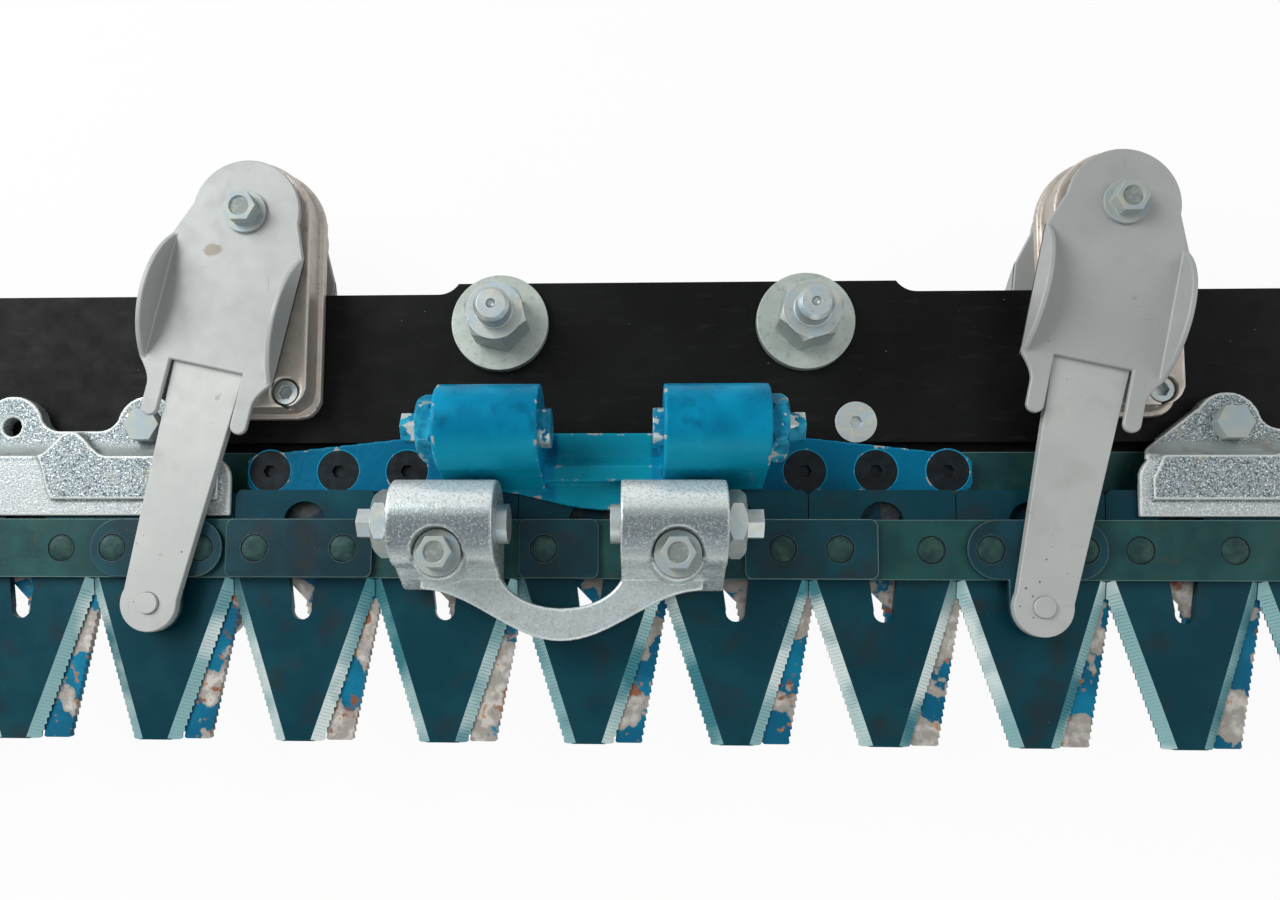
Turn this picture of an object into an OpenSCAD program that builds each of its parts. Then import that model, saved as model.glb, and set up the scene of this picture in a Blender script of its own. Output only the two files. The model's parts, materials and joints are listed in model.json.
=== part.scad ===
// Double-knife cutter bar of a sickle bar mower.
// Two serrated knives lie on each other and swing on steel arms that pivot behind the beam.
// X runs along the bar, Y points to the rear, Z points up.
// The origin is midway between the hitch studs, on the top face of the beam.

/* [Beam] */
// Length of the beam
beam_len = 990; // [960:1:1060]
// Thickness of the beam
beam_t = 10; // [8:0.5:14]
// Distance from the hitch studs back to the rear edge
beam_rear = 17.5; // [14:0.5:24]
// Distance from the front edge to the tip pins, with the arms square
knife_room = 93.6; // [93.6:0.1:97]
// How far the middle stands out behind the rear edge
beam_bulge = 6; // [3:0.5:10]
// Length of the part that stands out
bulge_len = 262; // [240:1:300]
// Length of the S-shaped step at each end of that part
bulge_step = 17; // [12:1:24]
// Offset of the beam's middle from the hitch
bar_shift = 13; // [10:0.5:16]
// Width of the ledge below the lower knife's back
wear_ledge_w = 14; // [10:0.5:15]
// Thickness of that ledge
wear_ledge_t = 3; // [2:0.25:3.5]

/* [Hitch] */
// Distance between the hitch studs
stud_span = 166; // [150:1:176]
// Diameter of a hitch stud
stud_d = 20; // [16:1:22]
// Height of a hitch stud above the beam
stud_h = 37; // [32:1:44]
// Diameter of a stud washer
washer_d = 53; // [44:1:56]
// Thickness of a stud washer
washer_t = 5; // [3:0.5:6]
// Width of a stud nut across its flats
stud_nut_af = 30; // [28:1:34]
// Height of a stud nut
stud_nut_h = 20; // [16:1:22]
// Diameter of a stud's free end above its nut
stud_end_d = 19; // [15:0.5:19.5]
// Distance from the studs forward to the front of the machined seat between them
hitch_seat_front = 30; // [26:0.5:32]

/* [Knives] */
// Distance from one knife section to the next
pitch = 76.2; // [74:0.1:80]
// Number of sections on a knife
section_count = 13; // [11:2:13]
// Thickness of a section
section_t = 4; // [3:0.25:4]
// Gap between neighbouring sections
section_slit = 0.5; // [0.4:0.1:1]
// Gap between the upper and the lower knife
knife_gap = 0.3; // [0.2:0.05:0.5]
// Height of the upper face of the lower sections above the beam
knife_plane = 8; // [7.5:0.1:8.5]
// Length of one tooth of the serrated edge
tooth_len = 3.6; // [3:0.1:6]
// Depth of one tooth
tooth_depth = 0.9; // [0.5:0.1:1.2]
// Width of the ground bevel along a cutting edge
bevel_w = 5.3; // [4:0.1:6]
// Thickness left at the cutting edge
edge_t = 1; // [0.8:0.1:1.5]
// Half width of an upper section's tip
upper_tip_half = 12; // [9:0.5:14]
// Half width of a lower section's tip
lower_tip_half = 6; // [5:0.5:8]
// Half width of a lower tooth at its root
lower_root_half = 19.6; // [17:0.2:21]

/* [Knife backs] */
// Width of the upper knife back
upper_back_w = 31; // [28:0.5:32]
// Thickness of the upper knife back
upper_back_t = 5; // [4:0.25:6]
// Thickness of the plates on the upper knife back
plate_t = 3; // [2.5:0.25:4]
// Distance between the two rivets of a section
rivet_span = 47; // [44:0.5:50]
// Diameter of a rivet shank
rivet_d = 9; // [7:0.5:10]
// Diameter of a rivet head
rivet_head_d = 14; // [12:0.5:15]
// Length of an ear plate
ear_len = 71; // [66:0.5:73]
// Width of the lower knife back behind its sections
lower_back_rear_w = 22; // [20:0.5:23]
// Width of the lower knife back under its sections
lower_back_front_w = 19; // [16:0.5:20]
// Thickness of the lower knife back behind its sections
lower_back_t = 6; // [5:0.25:7]

/* [Swing arms] */
// Distance from an arm's pivot to its tip pin
arm_len = 212; // [208:0.5:216]
// Swing of the upper arms from square, tips to the left
upper_swing = 12.4; // [8:0.1:12.6]
// Swing of the lower arms from square, tips to the left
lower_swing = 6.7; // [5:0.1:6.8]
// Distance from the hitch studs forward to the tip pins, with the arms square
knife_reach = 159.1; // [158.5:0.1:159.5]
// Thickness of a finger
finger_t = 5; // [4:0.25:6]
// Half width of a finger at the cover's slot
finger_root_half = 19.5; // [17:0.25:20]
// Radius of a finger's tip
finger_tip_r = 15; // [13:0.25:16]
// Thickness of a cover's sheet
cover_t = 3; // [2:0.25:4]
// Radius of a cover's round end
cover_r = 29; // [26:0.5:32]
// Half width of a cover between its flanges
cover_half = 36.5; // [34:0.5:38]
// Height of a cover's side flange at its middle
flange_h = 16; // [12:0.5:18]
// Length of a cover's side flange
flange_len = 68; // [60:0.5:72]
// Diameter of a tip pin
pin_d = 11; // [9:0.5:12]
// Outer diameter of a pivot bush
bush_d = 18; // [16:0.5:20]

/* [Pivot blocks] */
// Half width and rear radius of a pivot block
block_r = 35; // [32:0.5:36]
// Distance of a block's front edge behind the beam's front edge
block_set_back = 12.5; // [11.5:0.5:17.5]
// Radius of the boss that carries the bush behind the beam
block_boss_r = 22; // [18:0.5:26]

/* [Rear guides] */
// Distance of a guide's inner end from the middle of the beam
guide_inner = 237; // [235:0.5:242]
// Distance of a guide's middle hole from the middle of the beam
guide_mid = 363; // [355:0.5:366]
// Distance of the guide bolts from its middle hole
guide_bolt_span = 75.5; // [70:0.5:80]
// Height of a guide's raised body above the beam
guide_h = 18.5; // [17.5:0.25:19]
// Thickness of a guide's foot
guide_foot_t = 9; // [7:0.5:10]
// How far a guide reaches in front of the beam
guide_reach = 42; // [40.5:0.5:42.5]

/* [Drive brackets] */
// Distance of the brackets' middle from their knife's middle section
drive_shift = 13.6; // [12:0.1:15]
// Height of the adjusting screws' axis above the beam
drive_axis_z = 40; // [39:0.5:42]
// Outer radius of a bracket's boss
boss_r = 22; // [20:0.5:22.5]
// Half width of the free space between the bosses
fork_half = 30.6; // [29:0.2:32]
// Length of a boss
boss_len = 52; // [48:0.5:54]
// Diameter of an adjusting screw
adjuster_d = 20; // [18:0.5:20]
// Width of a lock nut across its flats
lock_nut_af = 30; // [28:0.5:30]
// Thickness of a lock nut
lock_nut_t = 9; // [8:0.5:10]
// Distance of the upper bracket's axis behind the arm pins
upper_axis_back = 40.2; // [40:0.1:41]
// Distance of the lower bracket's axis behind the arm pins
lower_axis_back = 92; // [91:0.1:93]
// Length of the lower bracket's plate
lower_plate_len = 389; // [380:1:392]
// Thickness of the lower bracket's plate
lower_plate_t = 5.5; // [5:0.25:5.75]

/* [Skid shoes] */
// Width of a skid shoe
skid_w = 60; // [40:1:64]
// Thickness of a skid shoe
skid_t = 6; // [4:0.5:8]
// Depth of a skid's sole below the beam
skid_drop = 36; // [32:0.5:46]
// Length of a skid's flat sole
skid_len = 120; // [100:1:140]
// Radius of a skid's turned-up toe
skid_toe_r = 26; // [20:0.5:28]

/* [Hidden] */

$fn = 48;

// Clearances
seat_gap = 0.02;
run_gap = 0.05;
open_gap = 0.4;
slide_gap = 0.5;
cut_over = 1;

// Heights, from the beam's top face
lower_sec_z = knife_plane - section_t;
upper_sec_z = knife_plane + knife_gap;
upper_back_z = upper_sec_z + section_t;
plate_z = upper_back_z + upper_back_t;
finger_z = plate_z + plate_t + slide_gap;
cover_z = finger_z + finger_t;
lower_finger_top = -beam_t - slide_gap - slide_gap;
lower_cover_top = lower_finger_top - finger_t;
lower_plate_top = 6;
lower_back_rear_z = lower_plate_top - lower_plate_t;
lower_back_bottom = lower_back_rear_z - lower_back_t;

// Knife places at rest
pivot_half = 3 * pitch;
pivot_y = arm_len - knife_reach;
beam_front = knife_reach - knife_room;
block_front = beam_front - block_set_back;
guide_front = beam_front + guide_reach;
upper_x = bar_shift - arm_len * sin(upper_swing);
upper_y = pivot_y - arm_len * cos(upper_swing);
lower_x = bar_shift - arm_len * sin(lower_swing);
lower_y = pivot_y - arm_len * cos(lower_swing);
section_half = floor(section_count / 2);
section_xs = [for (i = [-section_half : section_half]) i * pitch];
half_w = (pitch - section_slit) / 2;
knife_len = section_count * pitch - section_slit;

// Upper section, distances from the line of the tip pins
upper_rear = 61;
upper_root = 7.6;
upper_tip = 71.5;
upper_back_mid = 29.3;
window_big_r = 11.4;
window_small_r = 5.2;
window_bite = 0.3;
window_big_y = 43.5;
window_small_y = -2.8;
corner_r = 2.6;
tooth_peak_share = 0.75;

// Lower section, distances from its own line of tip pins
lower_rear = 64.5;
lower_flare = 24;
lower_root = 5.5;
lower_tip = 67.7;
lower_window_y = 47;
lower_back_step = lower_rear - seat_gap;
lower_rivet_y = lower_back_step - lower_back_front_w / 2;
lower_rivet_span = 58;

// Fastener sizes
socket_share = 0.5;
flange_bolt_d = 10;
flange_head_af = 15;
flange_d = 23;
flange_t = 2;
flange_head_h = 9;
csk_d = 22.8;
csk_shank_d = 12;
block_screw_d = 8;
block_screw_head_d = 13;
block_screw_head_h = 8;
guide_bolt_d = 10;
guide_bolt_af = 17;
guide_bolt_head_h = 7;
dimple_r = 2.5;
dimple_share = 0.7;
nut_turn = 15;
chamfer = 2;
stud_end_gap = 1;
stud_end_z = washer_t + stud_nut_h + stud_end_gap;
hitch_seat_rise = 0.1;
hitch_seat_clear = 4.5;
hitch_seat_len = stud_span - washer_d - 2 * hitch_seat_clear;
hitch_seat_rear = beam_rear - slide_gap;

// Cover and finger, distances along the arm from its pivot
flange_start = 19;
slot_start = 85;
leg_end = 112;
leg_w = 9;
leg_sweep = 14;
sweep_steps = 8;
finger_rear_r = 26;
tip_bulge = 0.8;
tip_collar_r = 9;
pin_head_rise = 1.5;
lower_pin_top = lower_sec_z - slide_gap;

// Upper bracket
foot_front = 7.6;
foot_t = 3.2;
pad_r = 13.5;
pad_top = 53;
bracket_bolt_x = 58.2;
bracket_bolt_back = 24.6;
bow_inner = 1.6;
bow_outer = 18.2;
bow_half = 72;
bow_mid = 18.6;
bow_ease = 1;
bow_steps = 16;
bow_t = 10;
bow_rise = 6;
button_reach = 5.2;
button_r = 10;
stub_len = 9;
stub_af = 14;

// Plates on the upper back, from the knife's middle section
side_plate_len = 78;
middle_plate_len = 42;
middle_plate_x = -15.8;
right_plate_len = 68;

// Lower bracket
screw_first = 106.5;
screw_step = 37.6;
plate_front_back = lower_back_step + seat_gap;
knife_clear = 3;
pedestal_back = upper_y + upper_rear - lower_y + knife_clear;
plate_rear_end = 84.5;
plate_rear_boss = 96.4;
web_t = 8;
web_top = 24;
skirt_back = 53.5;
skirt_bottom = upper_sec_z + section_t + slide_gap;
skirt_t = 3;
skirt_half = 62;
skirt_sweep = 10;
apron_back = 64.5;
apron_h = 6;
plate_end_r = 5;
end_steps = 6;

// Guide
guide_bolt_in = 7.5;
guide_bolt_y = guide_bolt_in - beam_front;
guide_lobe_r = 17;
guide_hole_d = 10.5;
guide_dip = -2;
guide_sweep_r = 11;
sweep_bite = 0.3;
guide_foot_front = -beam_front;
guide_shoulder = 10.1;
guide_shoulder_y = -beam_front - guide_shoulder;
guide_band = 13.5;
guide_band_y = -beam_front - guide_band;
guide_band_z = 17;
guide_front_wall = 2.6;
guide_nose = 12;
guide_hump_x = 39;
guide_hump_half = 19;
guide_hump_rise = 13.4;
guide_hump_slip = 10;
guide_hump_reach = 33.5;
guide_hump_front = -beam_front - guide_hump_reach;
guide_hump_in = guide_mid - guide_inner - guide_nose / 2;
hump_steps = 10;
guide_wall = 5;
guide_lip_z = upper_sec_z + section_t + slide_gap;
guide_outer = 2 * guide_mid - guide_inner;

// Skid
skid_inset = 40;
skid_x = beam_len / 2 - skid_inset;
skid_rear = 8;
skid_post_w = 44;
skid_post_len = 46;
skid_bolt_span = 24;
skid_bolt_y = -14;
skid_bolt_d = 10;
skid_bolt_af = 16;
skid_bolt_head_h = 6.4;
skid_z = -beam_t - skid_drop;
toe_angle = 50;

// Colours
steel_c = [0.72, 0.74, 0.75];
zinc_c = [0.80, 0.82, 0.82];
arm_c = [0.74, 0.75, 0.75];
black_c = [0.06, 0.06, 0.07];
block_c = [0.55, 0.52, 0.48];
blue_c = [0.04, 0.46, 0.66];
teal_c = [0.07, 0.30, 0.34];
blade_c = [0.16, 0.24, 0.30];
lower_blade_c = [0.20, 0.42, 0.55];

// Helpers

module at_pivots() {
    for (s = [-1, 1])
        translate([bar_shift + s * pivot_half, pivot_y, 0]) children();
}

module at_upper_arm(s) {
    translate([bar_shift + s * pivot_half, pivot_y, 0]) rotate(-upper_swing) children();
}

module at_lower_arm(s) {
    translate([bar_shift + s * pivot_half, pivot_y, 0]) rotate(-lower_swing) children();
}

module on_upper_knife() {
    translate([upper_x, upper_y, 0]) children();
}

module on_lower_knife() {
    translate([lower_x, lower_y, 0]) children();
}

module hex(af, h) {
    cylinder(d = af / cos(30), h = h, $fn = 6);
}

// Bar along X from its section in Y and Z
module along_x(x0, x1) {
    translate([x0, 0, 0])
        rotate([90, 0, 90])
            linear_extrude(x1 - x0) children();
}

// Hexagon flange bolt head with its shank below it
module flange_bolt(shank_d, shank_l) {
    difference() {
        union() {
            cylinder(d = flange_d, h = flange_t);
            hex(flange_head_af, flange_head_h);
            translate([0, 0, -shank_l]) cylinder(d = shank_d, h = shank_l + flange_t);
        }
        translate([0, 0, flange_head_h - chamfer / 2])
            cylinder(d = flange_head_af * dimple_share, h = cut_over);
    }
}

// Plain hexagon bolt
module hex_bolt(shank_d, af, head_h, shank_l) {
    hex(af, head_h);
    translate([0, 0, -shank_l]) cylinder(d = shank_d, h = shank_l);
}

// Countersunk screw with a hexagon socket, top face at zero
module csk_screw(length) {
    cone_h = (csk_d - csk_shank_d) / 2;
    difference() {
        rotate_extrude()
            polygon([
                [0, 0], [csk_d / 2, 0], [csk_shank_d / 2, -cone_h],
                [csk_shank_d / 2, -length], [0, -length]
            ]);
        translate([0, 0, -cone_h * socket_share])
            hex(csk_shank_d * socket_share, cone_h);
    }
}

module csk_hole(length) {
    cone_h = (csk_d - csk_shank_d) / 2;
    rotate_extrude()
        polygon([
            [0, cut_over], [csk_d / 2 + seat_gap, cut_over], [csk_d / 2 + seat_gap, 0],
            [csk_shank_d / 2 + seat_gap, -cone_h],
            [csk_shank_d / 2 + seat_gap, -length], [0, -length]
        ]);
}

// Fixed pieces

module beam_outline() {
    mid_half = bulge_len / 2;
    step_r = (bulge_step * bulge_step + beam_bulge * beam_bulge) / (4 * beam_bulge);
    translate([-beam_len / 2, -beam_front]) square([beam_len, beam_front + beam_rear]);
    difference() {
        translate([-mid_half, 0]) square([2 * mid_half, beam_rear + beam_bulge]);
        for (s = [-1, 1])
            translate([s * mid_half, beam_rear + step_r])
                circle(r = step_r - seat_gap, $fn = 96);
    }
}

beam_screw_x = 110;
beam_screw_in = 10.9;
beam_screw_y = beam_screw_in - beam_front;

module main_beam() {
    color(black_c)
        difference() {
            union() {
                translate([bar_shift, 0, -beam_t])
                    linear_extrude(beam_t - hitch_seat_rise) beam_outline();
                translate([-hitch_seat_len / 2, -hitch_seat_front, -beam_t])
                    cube([hitch_seat_len, hitch_seat_front + hitch_seat_rear, beam_t]);
                translate([bar_shift - beam_len / 2, -beam_front - wear_ledge_w, -beam_t])
                    cube([beam_len, wear_ledge_w + cut_over, wear_ledge_t]);
            }
            for (s = [-1, 1]) {
                translate([s * stud_span / 2, 0, -beam_t - cut_over])
                    cylinder(d = stud_d + 2 * seat_gap, h = beam_t + 2 * cut_over);
                translate([s * beam_screw_x, beam_screw_y, 0]) csk_hole(beam_t + cut_over);
                for (t = [-1, 1]) {
                    guide_x = bar_shift + s * (guide_mid + t * guide_bolt_span);
                    translate([guide_x, guide_bolt_y, -beam_t - cut_over])
                        cylinder(d = guide_bolt_d + 2 * seat_gap, h = beam_t + 2 * cut_over);
                    skid_bolt_x = bar_shift + s * skid_x + t * skid_bolt_span / 2;
                    translate([skid_bolt_x, skid_bolt_y, -beam_t - cut_over])
                        cylinder(d = skid_bolt_d + 2 * seat_gap, h = beam_t + 2 * cut_over);
                }
            }
            at_block_screws() translate([0, 0, -beam_t - cut_over])
                cylinder(d = block_screw_d + 2 * seat_gap, h = beam_t + 2 * cut_over);
            at_pivots() translate([0, 0, -beam_t - cut_over])
                cylinder(r = block_boss_r + slide_gap, h = beam_t + 2 * cut_over);
        }
}

module hitch_studs() {
    color(zinc_c)
        for (s = [-1, 1])
            translate([s * stud_span / 2, 0, 0])
                difference() {
                    rotate_extrude()
                        polygon([
                            [0, -beam_t], [stud_d / 2, -beam_t], [stud_d / 2, stud_end_z],
                            [stud_end_d / 2, stud_end_z], [stud_end_d / 2, stud_h - chamfer],
                            [stud_end_d / 2 - chamfer, stud_h], [0, stud_h]
                        ]);
                    translate([0, 0, stud_h]) sphere(r = dimple_r);
                }
}

module hitch_washers() {
    color(zinc_c)
        for (s = [-1, 1])
            translate([s * stud_span / 2, 0, 0])
                difference() {
                    cylinder(d = washer_d, h = washer_t);
                    translate([0, 0, -cut_over])
                        cylinder(d = stud_d + 2 * seat_gap, h = washer_t + 2 * cut_over);
                }
}

module hitch_nuts() {
    color(zinc_c)
        for (s = [-1, 1])
            translate([s * stud_span / 2, 0, washer_t])
                rotate(s * nut_turn)
                    difference() {
                        chamfered_nut(stud_nut_af, stud_nut_h);
                        translate([0, 0, -cut_over])
                            cylinder(d = stud_d + 2 * seat_gap, h = stud_nut_h + 2 * cut_over);
                    }
}

// Hexagon nut whose corners are turned off at both ends
module chamfered_nut(af, h) {
    corner = af / cos(30) / 2;
    turn = corner - af / 2;
    intersection() {
        hex(af, h);
        rotate_extrude()
            polygon([
                [0, 0], [af / 2, 0], [corner + seat_gap, turn],
                [corner + seat_gap, h - turn], [af / 2, h], [0, h]
            ]);
    }
}

module beam_screws() {
    color(zinc_c)
        for (s = [-1, 1])
            translate([s * beam_screw_x, beam_screw_y, 0]) csk_screw(beam_t);
}

block_screw_x = 20.5;
block_screw_in = 23.9;
block_screw_y = block_screw_in - beam_front;
block_corner_r = 12;
block_ledge = 5;
block_ledge_in = 3;

module at_block_screws() {
    for (s = [-1, 1])
        for (t = [-1, 1])
            translate([bar_shift + s * pivot_half + t * block_screw_x, block_screw_y, 0]) children();
}

module block_outline(inset) {
    front = pivot_y + block_front - inset;
    circle(r = block_r - inset);
    difference() {
        translate([-block_r + inset, -front]) square([2 * (block_r - inset), front]);
        for (s = [-1, 1])
            translate([s * (block_r - inset), -front])
                difference() {
                    square(2 * block_corner_r, center = true);
                    translate([-s * block_corner_r, block_corner_r]) circle(r = block_corner_r);
                }
    }
}

module pivot_block(s) {
    top = finger_z - slide_gap;
    color(block_c)
        difference() {
            union() {
                translate([bar_shift + s * pivot_half, pivot_y, 0]) {
                    linear_extrude(block_ledge) block_outline(0);
                    linear_extrude(top) block_outline(block_ledge_in);
                    translate([0, 0, lower_finger_top + slide_gap])
                        cylinder(r = block_boss_r, h = top - lower_finger_top - slide_gap);
                }
            }
            translate([bar_shift + s * pivot_half, pivot_y, lower_finger_top - cut_over])
                cylinder(d = bush_d + 2 * seat_gap, h = top - lower_finger_top + 2 * cut_over);
            at_block_screws() {
                translate([0, 0, -cut_over])
                    cylinder(d = block_screw_d + 2 * seat_gap, h = top + 2 * cut_over);
                translate([0, 0, top - block_screw_head_h - chamfer])
                    cylinder(d = block_screw_head_d + chamfer, h = top);
            }
        }
}

module left_pivot_block() {
    pivot_block(-1);
}

module right_pivot_block() {
    pivot_block(1);
}

module pivot_block_screws() {
    seat = finger_z - slide_gap - block_screw_head_h - chamfer;
    color(zinc_c)
        at_block_screws()
            difference() {
                union() {
                    translate([0, 0, -beam_t]) cylinder(d = block_screw_d, h = beam_t + seat);
                    translate([0, 0, seat]) cylinder(d = block_screw_head_d, h = block_screw_head_h);
                }
                translate([0, 0, seat + block_screw_head_h * socket_share])
                    hex(block_screw_head_d * socket_share, block_screw_head_h);
            }
}

bush_top = cover_z + cover_t + slide_gap / 2;
bush_bottom = lower_cover_top - cover_t - slide_gap / 2;

module pivot_bushes() {
    color(steel_c)
        at_pivots()
            translate([0, 0, bush_bottom])
                difference() {
                    cylinder(d = bush_d, h = bush_top - bush_bottom);
                    translate([0, 0, -cut_over])
                        cylinder(
                            d = flange_bolt_d + 2 * seat_gap,
                            h = bush_top - bush_bottom + 2 * cut_over
                        );
                }
}

pivot_nut_h = 10;

module pivot_bolts() {
    color(zinc_c)
        at_pivots()
            translate([0, 0, bush_top])
                flange_bolt(flange_bolt_d, bush_top - bush_bottom + pivot_nut_h);
}

module pivot_nuts() {
    color(zinc_c)
        at_pivots()
            translate([0, 0, bush_bottom - pivot_nut_h])
                difference() {
                    union() {
                        hex(flange_head_af, pivot_nut_h);
                        translate([0, 0, pivot_nut_h - flange_t]) cylinder(d = flange_d, h = flange_t);
                    }
                    translate([0, 0, -cut_over])
                        cylinder(d = flange_bolt_d + 2 * seat_gap, h = pivot_nut_h + 2 * cut_over);
                }
}

// Rear guide in its own place to the right of the beam's middle, x from the middle of the beam

// Foot with a round lobe at each hole and a hollow sweep between the lobes
module guide_foot() {
    sweep_x = sqrt(pow(guide_lobe_r + guide_sweep_r, 2) - pow(guide_dip + guide_sweep_r, 2));
    touch = guide_lobe_r / (guide_lobe_r + guide_sweep_r);
    for (x = [guide_mid - guide_bolt_span, guide_mid, guide_mid + guide_bolt_span])
        translate([x, guide_bolt_y, 0]) {
            cylinder(r = guide_lobe_r, h = guide_foot_t);
            for (s = [-1, 1])
                mirror([s < 0 ? 1 : 0, 0, 0])
                    difference() {
                        linear_extrude(guide_foot_t)
                            polygon([
                                [0, 0], [0, guide_foot_front - guide_bolt_y],
                                [sweep_x, guide_foot_front - guide_bolt_y], [sweep_x, guide_dip],
                                [sweep_x * touch, (guide_dip + guide_sweep_r) * touch]
                            ]);
                        translate([sweep_x, guide_dip + guide_sweep_r, -cut_over])
                            cylinder(r = guide_sweep_r + sweep_bite, h = guide_foot_t + 2 * cut_over);
                    }
        }
    translate([guide_mid - guide_bolt_span, guide_foot_front, 0])
        cube([2 * guide_bolt_span, guide_bolt_y + guide_dip - sweep_bite - guide_foot_front, guide_foot_t]);
}

// Body under the sloping front band
module guide_band() {
    along_x(guide_inner + guide_nose, guide_outer - guide_nose)
        polygon([
            [-guide_front, 0], [-guide_front, guide_lip_z + guide_front_wall],
            [guide_band_y, guide_band_z], [guide_shoulder_y, guide_band_z], [guide_shoulder_y, 0]
        ]);
    for (x = [guide_inner + guide_nose, guide_outer - guide_nose])
        translate([x, 0, 0])
            intersection() {
                along_x(-guide_nose, guide_nose)
                    polygon([
                        [-guide_front, 0], [-guide_front, guide_lip_z + guide_front_wall],
                        [guide_band_y, guide_band_z], [guide_shoulder_y, guide_band_z],
                        [guide_shoulder_y, 0]
                    ]);
                union() {
                    translate([0, guide_shoulder_y - guide_nose, -cut_over])
                        cylinder(r = guide_nose - seat_gap, h = guide_h + 2 * cut_over);
                    translate([-guide_nose + seat_gap, -guide_front - cut_over, -cut_over])
                        cube([
                            2 * guide_nose - 2 * seat_gap,
                            guide_front + guide_shoulder_y - guide_nose + cut_over, guide_h + 2 * cut_over
                        ]);
                }
            }
}

// Raised hump behind the band, drawn for one half and mirrored about the middle hole
module guide_hump() {
    for (s = [-1, 1])
        translate([guide_mid, 0, 0])
            mirror([s > 0 ? 1 : 0, 0, 0])
                linear_extrude(guide_h)
                    polygon([
                        [-guide_hump_in, guide_shoulder_y - guide_nose],
                        [-guide_hump_in + guide_nose / 2, guide_shoulder_y],
                        for (k = [0 : hump_steps]) let (w = k / hump_steps)
                            [-guide_hump_x - guide_hump_half * (1 - 2 * w),
                             guide_shoulder_y + guide_hump_rise * (1 - cos(360 * w)) / 2],
                        for (k = [1 : hump_steps]) let (w = k / hump_steps)
                            [-guide_hump_x + guide_hump_half - guide_hump_slip * w,
                             guide_shoulder_y
                             + (guide_hump_front - guide_shoulder_y) * (1 - cos(180 * w)) / 2],
                        [-guide_hump_in, guide_hump_front]
                    ]);
}

module guide_channel() {
    roof = guide_h - guide_wall;
    along_x(guide_inner - cut_over, guide_outer + cut_over)
        polygon([
            [-beam_front, -cut_over], [-beam_front, roof],
            [upper_y + upper_rear + slide_gap + chamfer, roof],
            [upper_y + upper_rear + slide_gap + chamfer, guide_lip_z],
            [-guide_front - cut_over, guide_lip_z], [-guide_front - cut_over, -cut_over]
        ]);
}

module rear_guide(s) {
    color(zinc_c)
        translate([bar_shift, 0, 0])
            mirror([s < 0 ? 1 : 0, 0, 0])
                difference() {
                    union() {
                        guide_foot();
                        guide_band();
                        guide_hump();
                    }
                    guide_channel();
                    for (x = [guide_mid - guide_bolt_span, guide_mid, guide_mid + guide_bolt_span]) {
                        hole_d = x == guide_mid ? guide_hole_d : guide_bolt_d + 2 * seat_gap;
                        translate([x, guide_bolt_y, -cut_over])
                            cylinder(d = hole_d, h = guide_foot_t + 2 * cut_over);
                        translate([x, guide_bolt_y, guide_foot_t])
                            cylinder(r = guide_lobe_r - guide_wall, h = guide_h);
                    }
                }
}

module left_rear_guide() {
    rear_guide(-1);
}

module right_rear_guide() {
    rear_guide(1);
}

module rear_guide_bolts() {
    color(zinc_c)
        for (s = [-1, 1])
            for (t = [-1, 1])
                translate([bar_shift + s * (guide_mid + t * guide_bolt_span), guide_bolt_y, guide_foot_t])
                    hex_bolt(guide_bolt_d, guide_bolt_af, guide_bolt_head_h, guide_foot_t + beam_t);
}

module skid_profile() {
    toe_y = skid_rear - skid_len;
    translate([toe_y, skid_z]) square([skid_len, skid_t]);
    translate([toe_y, skid_z + skid_toe_r])
        difference() {
            circle(r = skid_toe_r);
            circle(r = skid_toe_r - skid_t);
            translate([0, -2 * skid_toe_r]) square(4 * skid_toe_r);
            translate([-2 * skid_toe_r, 0]) square(4 * skid_toe_r);
            rotate(-90 - toe_angle)
                translate([-4 * skid_toe_r, -4 * skid_toe_r])
                    square([8 * skid_toe_r, 4 * skid_toe_r]);
        }
}

module skid_shoe(s) {
    color(steel_c)
        translate([bar_shift + s * skid_x, 0, 0])
            difference() {
                union() {
                    along_x(-skid_w / 2, skid_w / 2) skid_profile();
                    translate([-skid_post_w / 2, skid_bolt_y - skid_post_len / 2, skid_z])
                        cube([skid_post_w, skid_post_len, skid_drop]);
                }
                for (t = [-1, 1])
                    translate([t * skid_bolt_span / 2, skid_bolt_y, skid_z + skid_t])
                        cylinder(d = skid_bolt_d + 2 * seat_gap, h = skid_drop);
            }
}

module left_skid_shoe() {
    skid_shoe(-1);
}

module right_skid_shoe() {
    skid_shoe(1);
}

module skid_bolts() {
    grip = skid_drop - 2 * skid_t;
    color(zinc_c)
        for (s = [-1, 1])
            for (t = [-1, 1])
                translate([bar_shift + s * skid_x + t * skid_bolt_span / 2, skid_bolt_y, 0])
                    hex_bolt(skid_bolt_d, skid_bolt_af, skid_bolt_head_h, beam_t + grip);
}

// Knives

// Points of a serrated edge from a to b, with the teeth cut into the side to the left of its run
function edge_teeth(a, b) =
    let (d = b - a, n = floor(norm(d) / tooth_len), step = d / n, u = d / norm(d))
    [for (i = [0 : n - 1], k = [0, 1])
        k == 0 ? a + step * i : a + step * (i + tooth_peak_share) + [-u[1], u[0]] * tooth_depth];

// Teardrop window through a section, its wide end at big_y
module window_cut(big_y) {
    deep = section_t + 2 * cut_over;
    big_half = window_big_r - window_bite;
    small_half = window_small_r - window_bite;
    translate([0, big_y, -cut_over]) cylinder(r = window_big_r, h = deep);
    translate([0, window_small_y, -cut_over]) cylinder(r = window_small_r, h = deep);
    translate([0, 0, -cut_over])
        linear_extrude(deep)
            polygon([
                [big_half, big_y], [small_half, window_small_y],
                [-small_half, window_small_y], [-big_half, big_y]
            ]);
}

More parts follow.
